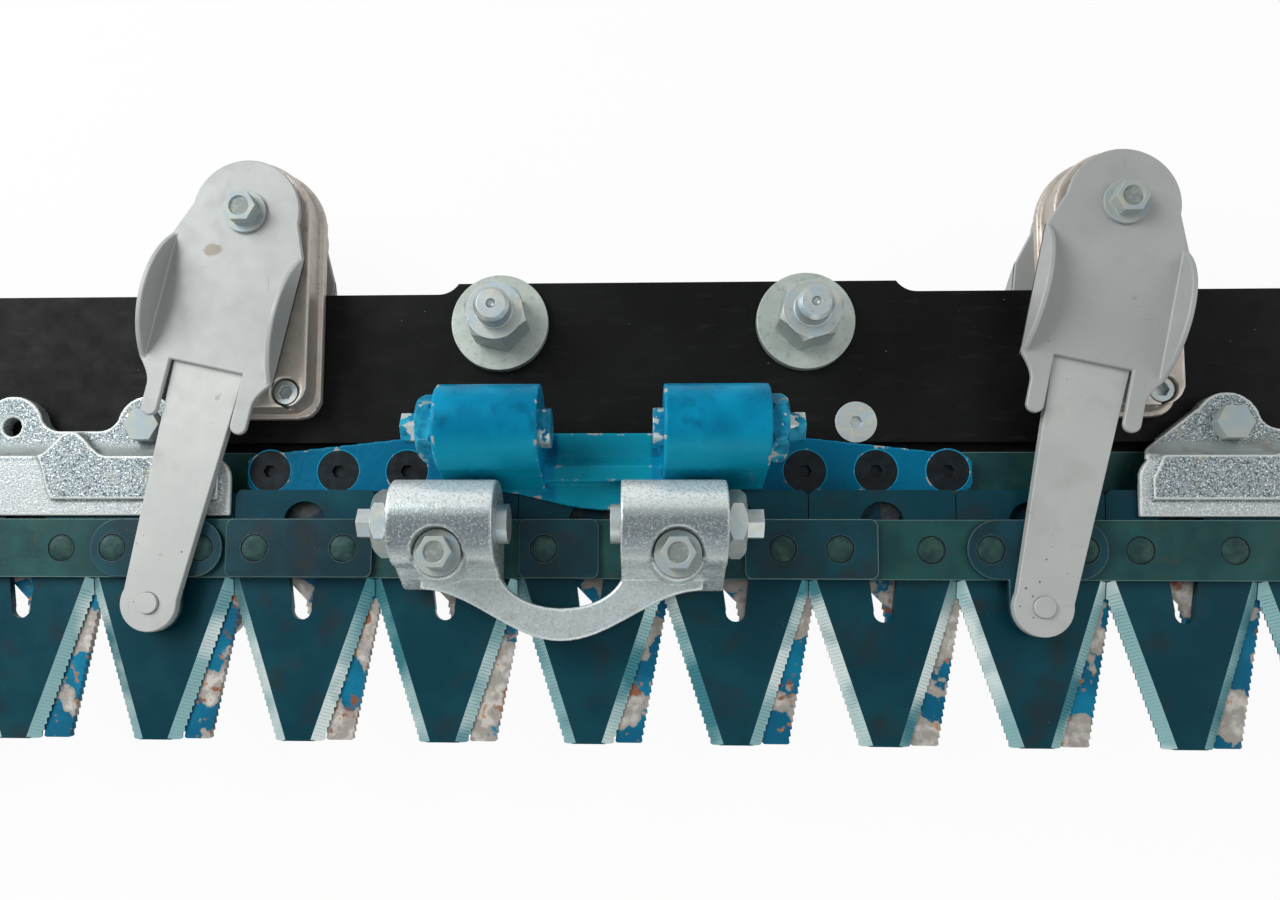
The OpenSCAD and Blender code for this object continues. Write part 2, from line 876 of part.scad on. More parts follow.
module upper_section_outline() {
    right = edge_teeth([half_w, upper_root], [upper_tip_half, -upper_tip]);
    left = [for (i = [len(right) - 1 : -1 : 0]) [-right[i][0], right[i][1]]];
    difference() {
        polygon(concat(
            [[half_w, upper_rear - corner_r]],
            right, [[upper_tip_half, -upper_tip], [-upper_tip_half, -upper_tip]], left,
            [[-half_w, upper_rear - corner_r],
             [-half_w + corner_r, upper_rear], [half_w - corner_r, upper_rear]]
        ));
        for (s = [-1, 1])
            translate([s * rivet_span / 2, upper_back_mid]) circle(d = rivet_d + 2 * seat_gap);
    }
}

// Wedge that grinds the bevel along an edge from a to b, on the face at z
module bevel_cut(a, b, z) {
    d = b - a;
    run = norm(d);
    depth = section_t - edge_t;
    rise = depth * cut_over / bevel_w;
    translate([a[0], a[1], z])
        rotate(atan2(d[1], d[0]))
            rotate([90, 0, 90])
                translate([0, 0, -bevel_w])
                    linear_extrude(run + bevel_w + cut_over)
                        polygon([
                            [bevel_w + cut_over, rise], [-cut_over, -depth - rise], [-cut_over, rise]
                        ]);
}

module upper_section() {
    top = upper_sec_z + section_t;
    difference() {
        translate([0, 0, upper_sec_z]) linear_extrude(section_t) upper_section_outline();
        translate([0, 0, upper_sec_z]) window_cut(window_big_y);
        bevel_cut([-half_w, upper_root], [-upper_tip_half, -upper_tip], top);
        mirror([1, 0, 0]) bevel_cut([-half_w, upper_root], [-upper_tip_half, -upper_tip], top);
    }
}

module upper_knife_sections() {
    color(blade_c)
        on_upper_knife()
            for (x = section_xs) translate([x, 0, 0]) upper_section();
}

module lower_section_outline() {
    right = edge_teeth([lower_root_half, lower_root], [lower_tip_half, -lower_tip]);
    left = [for (i = [len(right) - 1 : -1 : 0]) [-right[i][0], right[i][1]]];
    difference() {
        polygon(concat(
            [[half_w, lower_rear], [half_w, lower_flare]],
            right, [[lower_tip_half, -lower_tip], [-lower_tip_half, -lower_tip]], left,
            [[-half_w, lower_flare], [-half_w, lower_rear]]
        ));
        for (s = [-1, 1]) {
            translate([s * lower_rivet_span / 2, lower_rivet_y]) circle(d = rivet_d + 2 * seat_gap);
            translate([s * rivet_span / 2, lower_ear_mid]) circle(d = rivet_d + 2 * seat_gap);
        }
    }
}

module lower_knife_sections() {
    color(lower_blade_c)
        on_lower_knife()
            for (x = section_xs)
                translate([x, 0, lower_sec_z])
                    difference() {
                        linear_extrude(section_t) lower_section_outline();
                        window_cut(lower_window_y);
                    }
}

// Rivet with a sunk head, its top face at zero
module rivet(length) {
    head_t = plate_t / 2;
    translate([0, 0, -length]) cylinder(d = rivet_d, h = length);
    translate([0, 0, -head_t]) cylinder(d = rivet_head_d, h = head_t);
}

module rivet_hole(length) {
    head_t = plate_t / 2;
    translate([0, 0, -length - cut_over])
        cylinder(d = rivet_d + 2 * seat_gap, h = length + 2 * cut_over);
    translate([0, 0, -head_t - seat_gap])
        cylinder(d = rivet_head_d + 2 * seat_gap, h = head_t + cut_over);
}

left_plate_x = -2 * pitch;
right_plate_x = 1.5 * pitch;

// Whether a rivet place is clear of the bracket's two bolts
function clear_of_bolts(x) =
    min([for (s = [-1, 1]) abs(x - s * bracket_bolt_x + drive_shift)]) > (rivet_head_d + flange_bolt_d) / 2;

rivet_xs = [
    for (x = section_xs, s = [-1, 1])
        if (clear_of_bolts(x + s * rivet_span / 2)) x + s * rivet_span / 2
];

// Whether a place along the upper back lies under a plate or an ear
function under(x, mid, len) = abs(x - mid) < len / 2;

function plated(x) =
    under(x, left_plate_x, side_plate_len) || under(x, middle_plate_x, middle_plate_len)
    || under(x, right_plate_x, right_plate_len)
    || under(x, -pivot_half, ear_len) || under(x, pivot_half, ear_len);

module upper_knife_back() {
    color(teal_c)
        on_upper_knife()
            difference() {
                translate([-knife_len / 2, upper_back_mid - upper_back_w / 2, upper_back_z])
                    cube([knife_len, upper_back_w, upper_back_t]);
                for (x = rivet_xs)
                    translate([x, upper_back_mid, plate_z])
                        if (plated(x))
                            translate([0, 0, -upper_back_t - cut_over])
                                cylinder(d = rivet_d + 2 * seat_gap, h = upper_back_t + 2 * cut_over);
                        else
                            rivet_hole(upper_back_t);
                for (s = [-1, 1])
                    translate([s * bracket_bolt_x - drive_shift, bracket_bolt_back, upper_back_z - cut_over])
                        cylinder(d = flange_bolt_d + 2 * seat_gap, h = upper_back_t + 2 * cut_over);
            }
}

module upper_knife_rivets() {
    color(steel_c)
        on_upper_knife()
            for (x = rivet_xs)
                if (plated(x))
                    translate([x, upper_back_mid, plate_z + plate_t])
                        rivet(plate_t + upper_back_t + section_t);
                else
                    translate([x, upper_back_mid, plate_z]) rivet(upper_back_t + section_t);
}

module back_plate(mid, length) {
    color(blade_c)
        on_upper_knife()
            difference() {
                translate([mid - length / 2, upper_back_mid - upper_back_w / 2, plate_z])
                    cube([length, upper_back_w, plate_t]);
                for (x = rivet_xs)
                    if (under(x, mid, length))
                        translate([x, upper_back_mid, plate_z + plate_t]) rivet_hole(plate_t);
            }
}

module left_stiffening_plate() {
    back_plate(left_plate_x, side_plate_len);
}

module middle_stiffening_plate() {
    back_plate(middle_plate_x, middle_plate_len);
}

module right_stiffening_plate() {
    back_plate(right_plate_x, right_plate_len);
}

// Oblong plate with a tongue that ends round the tip pin at the origin
module ear_outline(mid_y, w) {
    for (s = [-1, 1])
        translate([s * (ear_len - w) / 2, mid_y]) circle(d = w);
    translate([-(ear_len - w) / 2, mid_y - w / 2]) square([ear_len - w, w]);
    circle(r = finger_tip_r);
    translate([-finger_tip_r, 0]) square([2 * finger_tip_r, mid_y]);
}

module upper_ear(s, bore_gap) {
    color(blade_c)
        on_upper_knife()
            translate([s * pivot_half, 0, plate_z])
                difference() {
                    linear_extrude(plate_t) ear_outline(upper_back_mid, upper_back_w);
                    translate([0, 0, -cut_over])
                        cylinder(d = pin_d + 2 * bore_gap, h = plate_t + 2 * cut_over);
                    for (t = [-1, 1])
                        translate([t * rivet_span / 2, upper_back_mid, plate_t]) rivet_hole(plate_t);
                }
}

module upper_left_ear_plate() {
    upper_ear(-1, run_gap);
}

module upper_right_ear_plate() {
    upper_ear(1, open_gap);
}

// Lower knife back: a stepped bar, low where the bracket's plate lies and high under the sections
module lower_knife_back() {
    rear_y = lower_back_step + lower_back_rear_w;
    front_y = lower_back_step - lower_back_front_w;
    color(teal_c)
        on_lower_knife()
            difference() {
                along_x(-knife_len / 2, knife_len / 2)
                    polygon([
                        [rear_y, lower_back_bottom], [rear_y, lower_back_rear_z],
                        [lower_back_step, lower_back_rear_z], [lower_back_step, lower_sec_z],
                        [front_y, lower_sec_z], [front_y, lower_back_bottom]
                    ]);
                for (x = section_xs, s = [-1, 1])
                    translate([x + s * lower_rivet_span / 2, lower_rivet_y, lower_back_bottom - cut_over])
                        cylinder(d = rivet_d + 2 * seat_gap, h = section_t + 4 * lower_back_t);
                at_bracket_screws() csk_hole(lower_plate_t + lower_back_t + cut_over);
            }
}

module lower_knife_rivets() {
    color(steel_c)
        on_lower_knife()
            for (x = section_xs, s = [-1, 1])
                translate([x + s * lower_rivet_span / 2, lower_rivet_y, lower_back_bottom])
                    cylinder(d = rivet_d, h = knife_plane - lower_back_bottom);
}

lower_ear_w = 22;
lower_ear_mid = lower_back_step - lower_back_front_w - lower_ear_w / 2 - slide_gap;

module lower_ear(s, bore_gap) {
    color(teal_c)
        on_lower_knife()
            translate([s * pivot_half, 0, lower_sec_z - plate_t])
                difference() {
                    linear_extrude(plate_t) ear_outline(lower_ear_mid, lower_ear_w);
                    translate([0, 0, -cut_over])
                        cylinder(d = pin_d + 2 * bore_gap, h = plate_t + 2 * cut_over);
                    for (t = [-1, 1])
                        translate([t * rivet_span / 2, lower_ear_mid, -cut_over])
                            cylinder(d = rivet_d + 2 * seat_gap, h = plate_t + 2 * cut_over);
                }
}

module lower_left_ear_plate() {
    lower_ear(-1, run_gap);
}

module lower_right_ear_plate() {
    lower_ear(1, open_gap);
}

module lower_ear_rivets() {
    color(steel_c)
        on_lower_knife()
            for (x = section_xs, t = [-1, 1]) {
                eared = abs(abs(x) - pivot_half) < pitch / 2;
                bottom = eared ? lower_sec_z - plate_t : lower_sec_z;
                translate([x + t * rivet_span / 2, lower_ear_mid, bottom])
                    cylinder(d = rivet_d, h = knife_plane - bottom);
            }
}

// Drive brackets, x from the bracket's own middle

module on_upper_bracket() {
    on_upper_knife() translate([-drive_shift, 0, 0]) children();
}

module on_lower_bracket() {
    on_lower_knife() translate([-drive_shift, 0, 0]) children();
}

module upper_boss_profile() {
    foot_rear = upper_back_mid + upper_back_w / 2;
    translate([upper_axis_back, drive_axis_z]) circle(r = boss_r);
    polygon([
        [foot_front, plate_z], [foot_front, plate_z + foot_t],
        [upper_axis_back - boss_r, drive_axis_z], [upper_axis_back, drive_axis_z],
        [foot_rear, plate_z + foot_t], [foot_rear, plate_z]
    ]);
}

// Plan of the bow: a swept outer edge from boss to boss, and an oval inner edge
module bow_2d() {
    difference() {
        polygon([
            for (k = [-bow_steps : bow_steps])
                let (w = k / bow_steps)
                [w * bow_half, foot_front - (foot_front + bow_outer) * (1 + cos(180 * w)) / 2],
            [bow_half, foot_front + bow_rise], [-bow_half, foot_front + bow_rise]
        ]);
        polygon([
            for (k = [0 : 2 * bow_steps])
                let (w = 180 + 90 * k / bow_steps)
                [(fork_half + bow_ease) * cos(w), bow_mid + (bow_mid + bow_inner) * sin(w)]
        ]);
    }
}

module upper_drive_bracket() {
    bow_z = plate_z + foot_t;
    color(zinc_c)
        on_upper_bracket()
            difference() {
                union() {
                    for (s = [-1, 1])
                        mirror([s < 0 ? 1 : 0, 0, 0]) {
                            along_x(fork_half, fork_half + boss_len) upper_boss_profile();
                            translate([bracket_bolt_x, bracket_bolt_back, plate_z])
                                cylinder(r = pad_r, h = pad_top - plate_z);
                        }
                    translate([0, 0, bow_z]) linear_extrude(bow_t) bow_2d();
                }
                for (s = [-1, 1]) {
                    translate([s * bracket_bolt_x, bracket_bolt_back, plate_z - cut_over])
                        cylinder(d = flange_bolt_d + 2 * seat_gap, h = drive_axis_z + boss_r);
                    translate([s * bracket_bolt_x, bracket_bolt_back, pad_top])
                        cylinder(d = flange_d + chamfer, h = drive_axis_z + boss_r);
                }
                adjuster_bore(upper_axis_back);
            }
}

module adjuster_bore(axis_y) {
    reach = fork_half + boss_len + cut_over;
    translate([-reach, axis_y, drive_axis_z])
        rotate([0, 90, 0]) cylinder(d = adjuster_d + 2 * seat_gap, h = 2 * reach);
}

module upper_bracket_bolts() {
    color(zinc_c)
        on_upper_bracket()
            for (s = [-1, 1])
                translate([s * bracket_bolt_x, bracket_bolt_back, pad_top])
                    flange_bolt(flange_bolt_d, pad_top - plate_z + upper_back_t);
}

// Adjusting screw: round button inside the fork, thread through the boss, hexagon stub outside
module adjusting_screws(axis_y) {
    outer = fork_half + boss_len + lock_nut_t;
    for (s = [-1, 1])
        translate([0, axis_y, drive_axis_z])
            mirror([s < 0 ? 1 : 0, 0, 0])
                rotate([0, 90, 0]) {
                    translate([0, 0, fork_half - button_reach])
                        cylinder(r = button_r, h = button_reach);
                    translate([0, 0, fork_half]) cylinder(d = adjuster_d, h = outer - fork_half);
                    translate([0, 0, outer]) hex(stub_af, stub_len);
                }
}

module lock_nuts(axis_y) {
    for (s = [-1, 1])
        translate([0, axis_y, drive_axis_z])
            mirror([s < 0 ? 1 : 0, 0, 0])
                rotate([0, 90, 0])
                    translate([0, 0, fork_half + boss_len])
                        difference() {
                            rotate(30) chamfered_nut(lock_nut_af, lock_nut_t);
                            translate([0, 0, -cut_over])
                                cylinder(d = adjuster_d + 2 * seat_gap, h = lock_nut_t + 2 * cut_over);
                        }
}

module upper_adjusting_screws() {
    color(zinc_c) on_upper_bracket() adjusting_screws(upper_axis_back);
}

module upper_lock_nuts() {
    color(zinc_c) on_upper_bracket() lock_nuts(upper_axis_back);
}

module lower_adjusting_screws() {
    color(zinc_c) on_lower_bracket() adjusting_screws(lower_axis_back);
}

module lower_lock_nuts() {
    color(zinc_c) on_lower_bracket() lock_nuts(lower_axis_back);
}

screw_y = lower_back_step + lower_back_rear_w / 2;

module at_bracket_screws() {
    for (s = [-1, 1], i = [0 : 2])
        translate([s * (screw_first + i * screw_step) - drive_shift, screw_y, lower_plate_top]) children();
}

module lower_boss_profile() {
    translate([lower_axis_back, drive_axis_z]) circle(r = boss_r);
    polygon([
        [plate_front_back, lower_back_rear_z], [plate_front_back, lower_plate_top],
        [pedestal_back, lower_plate_top], [pedestal_back, skirt_bottom], [apron_back, skirt_bottom],
        [apron_back, skirt_bottom + apron_h], [lower_axis_back - boss_r, drive_axis_z],
        [lower_axis_back, drive_axis_z],
        [plate_rear_boss, lower_plate_top], [plate_rear_boss, lower_back_rear_z]
    ]);
}

module lower_drive_bracket() {
    half = lower_plate_len / 2;
    outer = fork_half + boss_len;
    color(blue_c)
        on_lower_bracket()
            difference() {
                union() {
                    translate([0, 0, lower_back_rear_z])
                        linear_extrude(lower_plate_t)
                            polygon([
                                for (k = [0 : end_steps]) let (w = 90 * k / end_steps)
                                    [half - plate_end_r * (1 - sin(w)),
                                     plate_front_back + plate_end_r * (1 - cos(w))],
                                for (k = [0 : end_steps]) let (w = 90 * k / end_steps)
                                    [half - plate_end_r * (1 - cos(w)),
                                     plate_rear_end - plate_end_r * (1 - sin(w))],
                                [outer, plate_rear_boss], [-outer, plate_rear_boss],
                                for (k = [0 : end_steps]) let (w = 90 * k / end_steps)
                                    [-half + plate_end_r * (1 - sin(w)),
                                     plate_rear_end - plate_end_r * (1 - cos(w))],
                                for (k = [0 : end_steps]) let (w = 90 * k / end_steps)
                                    [-half + plate_end_r * (1 - cos(w)),
                                     plate_front_back + plate_end_r * (1 - sin(w))]
                            ]);
                    for (s = [-1, 1])
                        mirror([s < 0 ? 1 : 0, 0, 0])
                            along_x(fork_half, outer) lower_boss_profile();
                    translate([0, 0, skirt_bottom])
                        linear_extrude(skirt_t)
                            polygon([
                                for (k = [-bow_steps : bow_steps])
                                    let (w = k / bow_steps)
                                    [w * skirt_half, skirt_back + skirt_sweep * (1 - cos(180 * w)) / 2],
                                [skirt_half, pedestal_back + web_t / 2],
                                [-skirt_half, pedestal_back + web_t / 2]
                            ]);
                    along_x(-fork_half - cut_over, fork_half + cut_over)
                        polygon([
                            [plate_front_back, lower_back_rear_z], [plate_front_back, lower_plate_top],
                            [pedestal_back, lower_plate_top], [pedestal_back, web_top],
                            [pedestal_back + web_t, web_top],
                            [pedestal_back + 2 * web_t, lower_plate_top],
                            [pedestal_back + 2 * web_t, lower_back_rear_z]
                        ]);
                }
                translate([drive_shift, 0, 0])
                    at_bracket_screws() csk_hole(lower_plate_t + cut_over);
                adjuster_bore(lower_axis_back);
            }
}

module lower_bracket_screws() {
    color(black_c)
        on_lower_knife() at_bracket_screws() csk_screw(lower_plate_t + lower_back_t);
}

// Swing arms, drawn with the pivot at the origin and the tip straight ahead on minus Y

module finger_outline() {
    tip_half = finger_tip_r - tip_bulge;
    polygon([
        [finger_root_half, 0], [finger_root_half, -slot_start], [tip_half, -arm_len],
        [-tip_half, -arm_len], [-finger_root_half, -slot_start], [-finger_root_half, 0]
    ]);
}

module finger(z) {
    color(arm_c)
        translate([0, 0, z])
            difference() {
                union() {
                    linear_extrude(finger_t) finger_outline();
                    cylinder(r = finger_rear_r, h = finger_t);
                    translate([0, -arm_len, 0]) cylinder(r = finger_tip_r, h = finger_t);
                }
                translate([0, 0, -cut_over])
                    cylinder(d = bush_d + 2 * run_gap, h = finger_t + 2 * cut_over);
                translate([0, -arm_len, -cut_over])
                    cylinder(d = pin_d + 2 * seat_gap, h = finger_t + 2 * cut_over);
            }
}

module cover_outline() {
    leg_mid = finger_root_half + slide_gap + leg_w / 2;
    circle(r = cover_r);
    leg_out = leg_mid + leg_w / 2;
    flange_end = flange_start + flange_len;
    sweep = [
        for (k = [0 : sweep_steps])
            let (w = k / sweep_steps)
            [leg_out + (cover_half - leg_out) * (1 - sin(90 * w)), -flange_end - leg_sweep * w]
    ];
    polygon(concat(
        [[cover_r, 0], [cover_half, -flange_start]], sweep,
        [[leg_out, -leg_end], [leg_out - leg_w, -leg_end], [leg_out - leg_w, -slot_start],
         [-leg_out + leg_w, -slot_start], [-leg_out + leg_w, -leg_end], [-leg_out, -leg_end]],
        [for (k = [sweep_steps : -1 : 0]) [-sweep[k][0], sweep[k][1]]],
        [[-cover_half, -flange_start], [-cover_r, 0]]
    ));
    for (s = [-1, 1])
        translate([s * leg_mid, -leg_end]) circle(d = leg_w);
}

// Pressed cover with lens-shaped side flanges; up is 1 or -1 for the way the flanges turn
module cover(z, up) {
    bow_r = (flange_len * flange_len / 4 + flange_h * flange_h) / (2 * flange_h);
    color(arm_c)
        translate([0, 0, z])
            mirror([0, 0, up < 0 ? 1 : 0])
                difference() {
                    union() {
                        linear_extrude(cover_t) cover_outline();
                        for (s = [-1, 1])
                            along_x(
                                s * cover_half - (s > 0 ? cover_t : 0), s * cover_half + (s < 0 ? cover_t : 0)
                            )
                                intersection() {
                                    translate([-flange_start - flange_len / 2, flange_h + cover_t - bow_r])
                                        circle(r = bow_r, $fn = 96);
                                    translate([-flange_start - flange_len, 0])
                                        square([flange_len, flange_h + cover_t]);
                                }
                    }
                    translate([0, 0, -cut_over])
                        cylinder(d = bush_d + 2 * run_gap, h = cover_t + 2 * cut_over);
                }
}

// Tip pin riveted into a finger; its end turns in the ear plate
module upper_tip_pin() {
    end = plate_z + slide_gap;
    color(zinc_c)
        translate([0, -arm_len, end])
            cylinder(d = pin_d, h = cover_z + pin_head_rise - end);
}

module lower_tip_pin() {
    bottom = lower_cover_top - pin_head_rise;
    color(zinc_c)
        translate([0, -arm_len, 0]) {
            translate([0, 0, bottom]) cylinder(d = pin_d, h = lower_pin_top - bottom);
            translate([0, 0, lower_finger_top])
                cylinder(r = tip_collar_r, h = lower_sec_z - plate_t - slide_gap - lower_finger_top);
        }
}

module upper_left_finger() {
    at_upper_arm(-1) finger(finger_z);
}

module upper_left_cover() {
    at_upper_arm(-1) cover(cover_z, 1);
}

module upper_left_tip_pin() {
    at_upper_arm(-1) upper_tip_pin();
}

module upper_right_finger() {
    at_upper_arm(1) finger(finger_z);
}

module upper_right_cover() {
    at_upper_arm(1) cover(cover_z, 1);
}

module upper_right_tip_pin() {
    at_upper_arm(1) upper_tip_pin();
}

module lower_left_finger() {
    at_lower_arm(-1) finger(lower_cover_top);
}

module lower_left_cover() {
    at_lower_arm(-1) cover(lower_cover_top, -1);
}

module lower_left_tip_pin() {
    at_lower_arm(-1) lower_tip_pin();
}

module lower_right_finger() {
    at_lower_arm(1) finger(lower_cover_top);
}

module lower_right_cover() {
    at_lower_arm(1) cover(lower_cover_top, -1);
}

module lower_right_tip_pin() {
    at_lower_arm(1) lower_tip_pin();
}

main_beam();
hitch_studs();
hitch_washers();
hitch_nuts();
beam_screws();
left_pivot_block();
right_pivot_block();
pivot_block_screws();
pivot_bushes();
pivot_bolts();
pivot_nuts();
left_rear_guide();
right_rear_guide();
rear_guide_bolts();
left_skid_shoe();
right_skid_shoe();
skid_bolts();
upper_knife_back();
upper_knife_sections();
upper_knife_rivets();
left_stiffening_plate();
middle_stiffening_plate();
right_stiffening_plate();
upper_left_ear_plate();
upper_right_ear_plate();
upper_drive_bracket();
upper_bracket_bolts();
upper_adjusting_screws();
upper_lock_nuts();
lower_knife_back();
lower_knife_sections();
lower_knife_rivets();
lower_left_ear_plate();
lower_right_ear_plate();
lower_ear_rivets();
lower_drive_bracket();
lower_bracket_screws();
lower_adjusting_screws();
lower_lock_nuts();
upper_left_finger();
upper_left_cover();
upper_left_tip_pin();
upper_right_finger();
upper_right_cover();
upper_right_tip_pin();
lower_left_finger();
lower_left_cover();
lower_left_tip_pin();
lower_right_finger();
lower_right_cover();
lower_right_tip_pin();
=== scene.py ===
import json
import math

import bmesh
import bpy
from mathutils import Matrix, Vector


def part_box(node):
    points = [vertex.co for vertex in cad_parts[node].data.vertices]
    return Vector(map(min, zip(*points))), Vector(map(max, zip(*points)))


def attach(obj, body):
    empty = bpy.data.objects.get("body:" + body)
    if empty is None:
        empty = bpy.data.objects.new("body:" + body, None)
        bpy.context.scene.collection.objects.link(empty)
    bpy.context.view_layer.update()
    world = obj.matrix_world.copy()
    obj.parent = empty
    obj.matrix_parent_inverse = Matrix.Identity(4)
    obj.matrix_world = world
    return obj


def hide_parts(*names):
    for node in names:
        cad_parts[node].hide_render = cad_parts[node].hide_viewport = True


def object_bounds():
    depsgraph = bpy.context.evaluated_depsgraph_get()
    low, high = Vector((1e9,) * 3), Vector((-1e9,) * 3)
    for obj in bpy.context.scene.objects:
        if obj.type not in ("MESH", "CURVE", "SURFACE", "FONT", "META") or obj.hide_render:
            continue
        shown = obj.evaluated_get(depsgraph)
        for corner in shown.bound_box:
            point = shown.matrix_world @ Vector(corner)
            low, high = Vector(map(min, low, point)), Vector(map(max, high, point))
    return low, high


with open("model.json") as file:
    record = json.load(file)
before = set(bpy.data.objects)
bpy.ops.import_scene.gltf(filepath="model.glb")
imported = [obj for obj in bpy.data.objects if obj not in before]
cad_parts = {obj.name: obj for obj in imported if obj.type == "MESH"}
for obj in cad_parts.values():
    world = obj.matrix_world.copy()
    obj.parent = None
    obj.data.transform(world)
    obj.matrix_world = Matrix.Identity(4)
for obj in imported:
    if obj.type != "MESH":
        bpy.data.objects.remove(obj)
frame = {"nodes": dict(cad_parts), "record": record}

CAD_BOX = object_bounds()
NODES = frame["nodes"]
BODY_OF = {n: b for b, names in frame["record"]["behaviour"]["bodies"].items() for n in names}
MM = 0.001

# Camera as fitted to the photo: place in metres, turns about X, Y and Z in degrees, lens and width
# of the sensor in millimetres, shift as a share of the picture's width
CAMERA_AT = (-0.0058, -0.1601, 0.5084)
CAMERA_TURN = (-4.54, -2.18, -0.13)
LENS = 26.64
SENSOR = 36.0
SHIFT = (0.0276, 0.0718)

# Floor: half its width in metres, its distance below the part in millimetres, and the share of
# plain white in what the camera and gloss see of it
FLOOR_HALF = 6.0
FLOOR_DROP = 0.5
FLOOR_WHITE = 0.95

# Softboxes: name, place in metres and power in watts, then the size and aim of all three; the
# room's own light fills the shadows
LAMPS = (("key_softbox", (-0.9, 0.45, 0.8), 14.0),
         ("right_softbox", (1.25, 0.1, 0.75), 2.5),
         ("front_softbox", (0.1, -1.3, 0.8), 3.0))
LAMP_SIZE = 0.8
LAMP_AIM = (0.0, -0.05, 0.0)
ROOM_LIGHT = 0.22

# All sizes from here on are in millimetres

# Knife sections, as in the part's source
PITCH = 76.2
SECTION_SLIT = 0.5
UPPER_TIP_HALF = 12.0
UPPER_EDGE_RUN = 79.1
BEVEL_W = 5.3
BEVEL_DROP = 3.0
# How far a bevel's faces look up, as least and most Z of their normals
BEVEL_FACING = (0.5, 0.97)

# Grinding ribs across the bevels: step, radius, depth in the steel, and what they leave free of the
# bevel's width
RIB_STEP = 1.8
RIB_RADIUS = 0.3
RIB_DEPTH = 0.12
RIB_FREE = 0.7

# Rings round screws and rivets: corners round a ring and round its wire, and the share of the
# wire's radius by which its middle lies below the head's top
RING_CORNERS = 44
WIRE_CORNERS = 6
WIRE_SUNK = 0.4

# Low rivet heads: faces round and up a head, and its radius as a share of the rivet's
HEAD_ROUND = 28
HEAD_UP = 12
HEAD_SHARE = 0.88

# Copies of CAD meshes: points nearer than this are one, faces within this angle in degrees are one,
# and edges sharper than this angle are eased
SAME_POINT = 0.002
SAME_FACE = 0.5
SHARP_EDGE = 40
# Round corners of the stiffening plates
PLATE_CORNER = 4.0

# Rear guides: middle of the bar and of a guide along X, and the web between a guide's foot and its
# band as places in Y and Z with half its length there, then half its length towards the right
# guide's slanting inner end
BAR_MIDDLE = 13.0
GUIDE_MIDDLE = 363.0
GUIDE_WEB = ((-64.3, 6.0, 86.0, 110.0), (-64.3, 8.7, 86.0, 110.0), (-66.5, 9.3, 89.0, 113.0),
             (-70.0, 10.9, 95.0, 117.5), (-73.0, 13.4, 100.0, 121.0), (-75.2, 16.4, 104.0, 122.5),
             (-77.2, 16.8, 108.0, 122.5), (-77.2, 14.0, 108.0, 122.5), (-71.0, 8.4, 97.0, 119.0))
# Toe that carries the slant on over the beam, as places in X and Y, and its lower and upper face
GUIDE_TOE = ((252.2, -65.2), (271.8, -49.8), (288.0, -56.0), (288.0, -65.2))
GUIDE_TOE_Z = (0.1, 8.9)

# Places where a finish changes; in a pair, the change begins at the first and is full at the second

# A guide's web and band along Y, its humps and band along Z
WEB_ENDS, BAND_BEGINS = -77.0, -79.0
HUMPS_BEGIN, BAND_TOP = 17.9, 17.5
# An arm's dirty tip along Y, and the brown stain on the left cover with its half sizes
DIRTY_TIP = (-115.0, -130.0)
STAIN_AT = (-232.5, 32.6)
STAIN_HALF = (5.5, 3.6)
# The lower sections along Y, where the upper ones begin to cover them and their shade is painted
COVERED_SHADE = (-142.0, -138.0)
# The two ends of the gap between the blue bracket's bosses along X, where painted light lifts the
# bosses' shadow, with half the width of that change; the darker ears' height above their screws
DRIVE_GAP = (-50.4, -0.2)
GAP_FADE = 1.0
EAR_TOP = (2.0, 1.0)
# Depths below the top: the silver bosses' ridge, where a dark reflection is painted, and the rim
# and floor of a bolt head's sunk middle, where shade is painted
DARK_REFLECTION_DEPTHS = (16.0, 12.0)
DISH_RIM = (0.3, 0.4)
DISH_FLOOR = (1.1, 1.0)

scene = bpy.context.scene
scene.view_settings.view_transform = "Standard"


# Camera, floor and light

def make_camera():
    """Camera from the fit of the photo: looks down on the bar's middle with a small tilt."""
    data = bpy.data.cameras.new("camera")
    data.sensor_fit = "HORIZONTAL"
    data.sensor_width = SENSOR
    data.lens = LENS
    data.shift_x, data.shift_y = SHIFT
    data.clip_start = 0.01
    data.clip_end = 20.0
    turn = Matrix.Identity(3)
    for axis, degrees in zip("XYZ", CAMERA_TURN):
        turn = Matrix.Rotation(math.radians(degrees), 3, axis) @ turn
    cam = bpy.data.objects.new("camera", data)
    cam.matrix_world = Matrix.Translation(CAMERA_AT) @ turn.transposed().to_4x4()
    scene.collection.objects.link(cam)
    scene.camera = cam


def linear(hex_colour):
    """sRGB hex to linear RGBA."""
    out = []
    for i in (1, 3, 5):
        c = int(hex_colour[i:i + 2], 16) / 255
        out.append(c / 12.92 if c <= 0.04045 else ((c + 0.055) / 1.055) ** 2.4)
    return (*out, 1.0)


def add(tree, kind, sockets=None, **settings):
    """One node with its settings; a socket takes a value or a link from another node's output."""
    n = tree.nodes.new(kind)
    for key, value in settings.items():
        setattr(n, key, value)
    for key, value in (sockets or {}).items():
        if isinstance(value, bpy.types.NodeSocket):
            tree.links.new(value, n.inputs[key])
        else:
            n.inputs[key].default_value = value
    return n


def seen_directly(tree):
    """1 for rays of the camera, of gloss and of glass, which should meet a white studio."""
    ray = add(tree, "ShaderNodeLightPath")
    seen = add(tree, "ShaderNodeMath",
               {0: ray.outputs["Is Camera Ray"], 1: ray.outputs["Is Glossy Ray"]},
               operation="MAXIMUM")
    return add(tree, "ShaderNodeMath", {0: seen.outputs[0], 1: ray.outputs["Is Transmission Ray"]},
               operation="MAXIMUM").outputs[0]


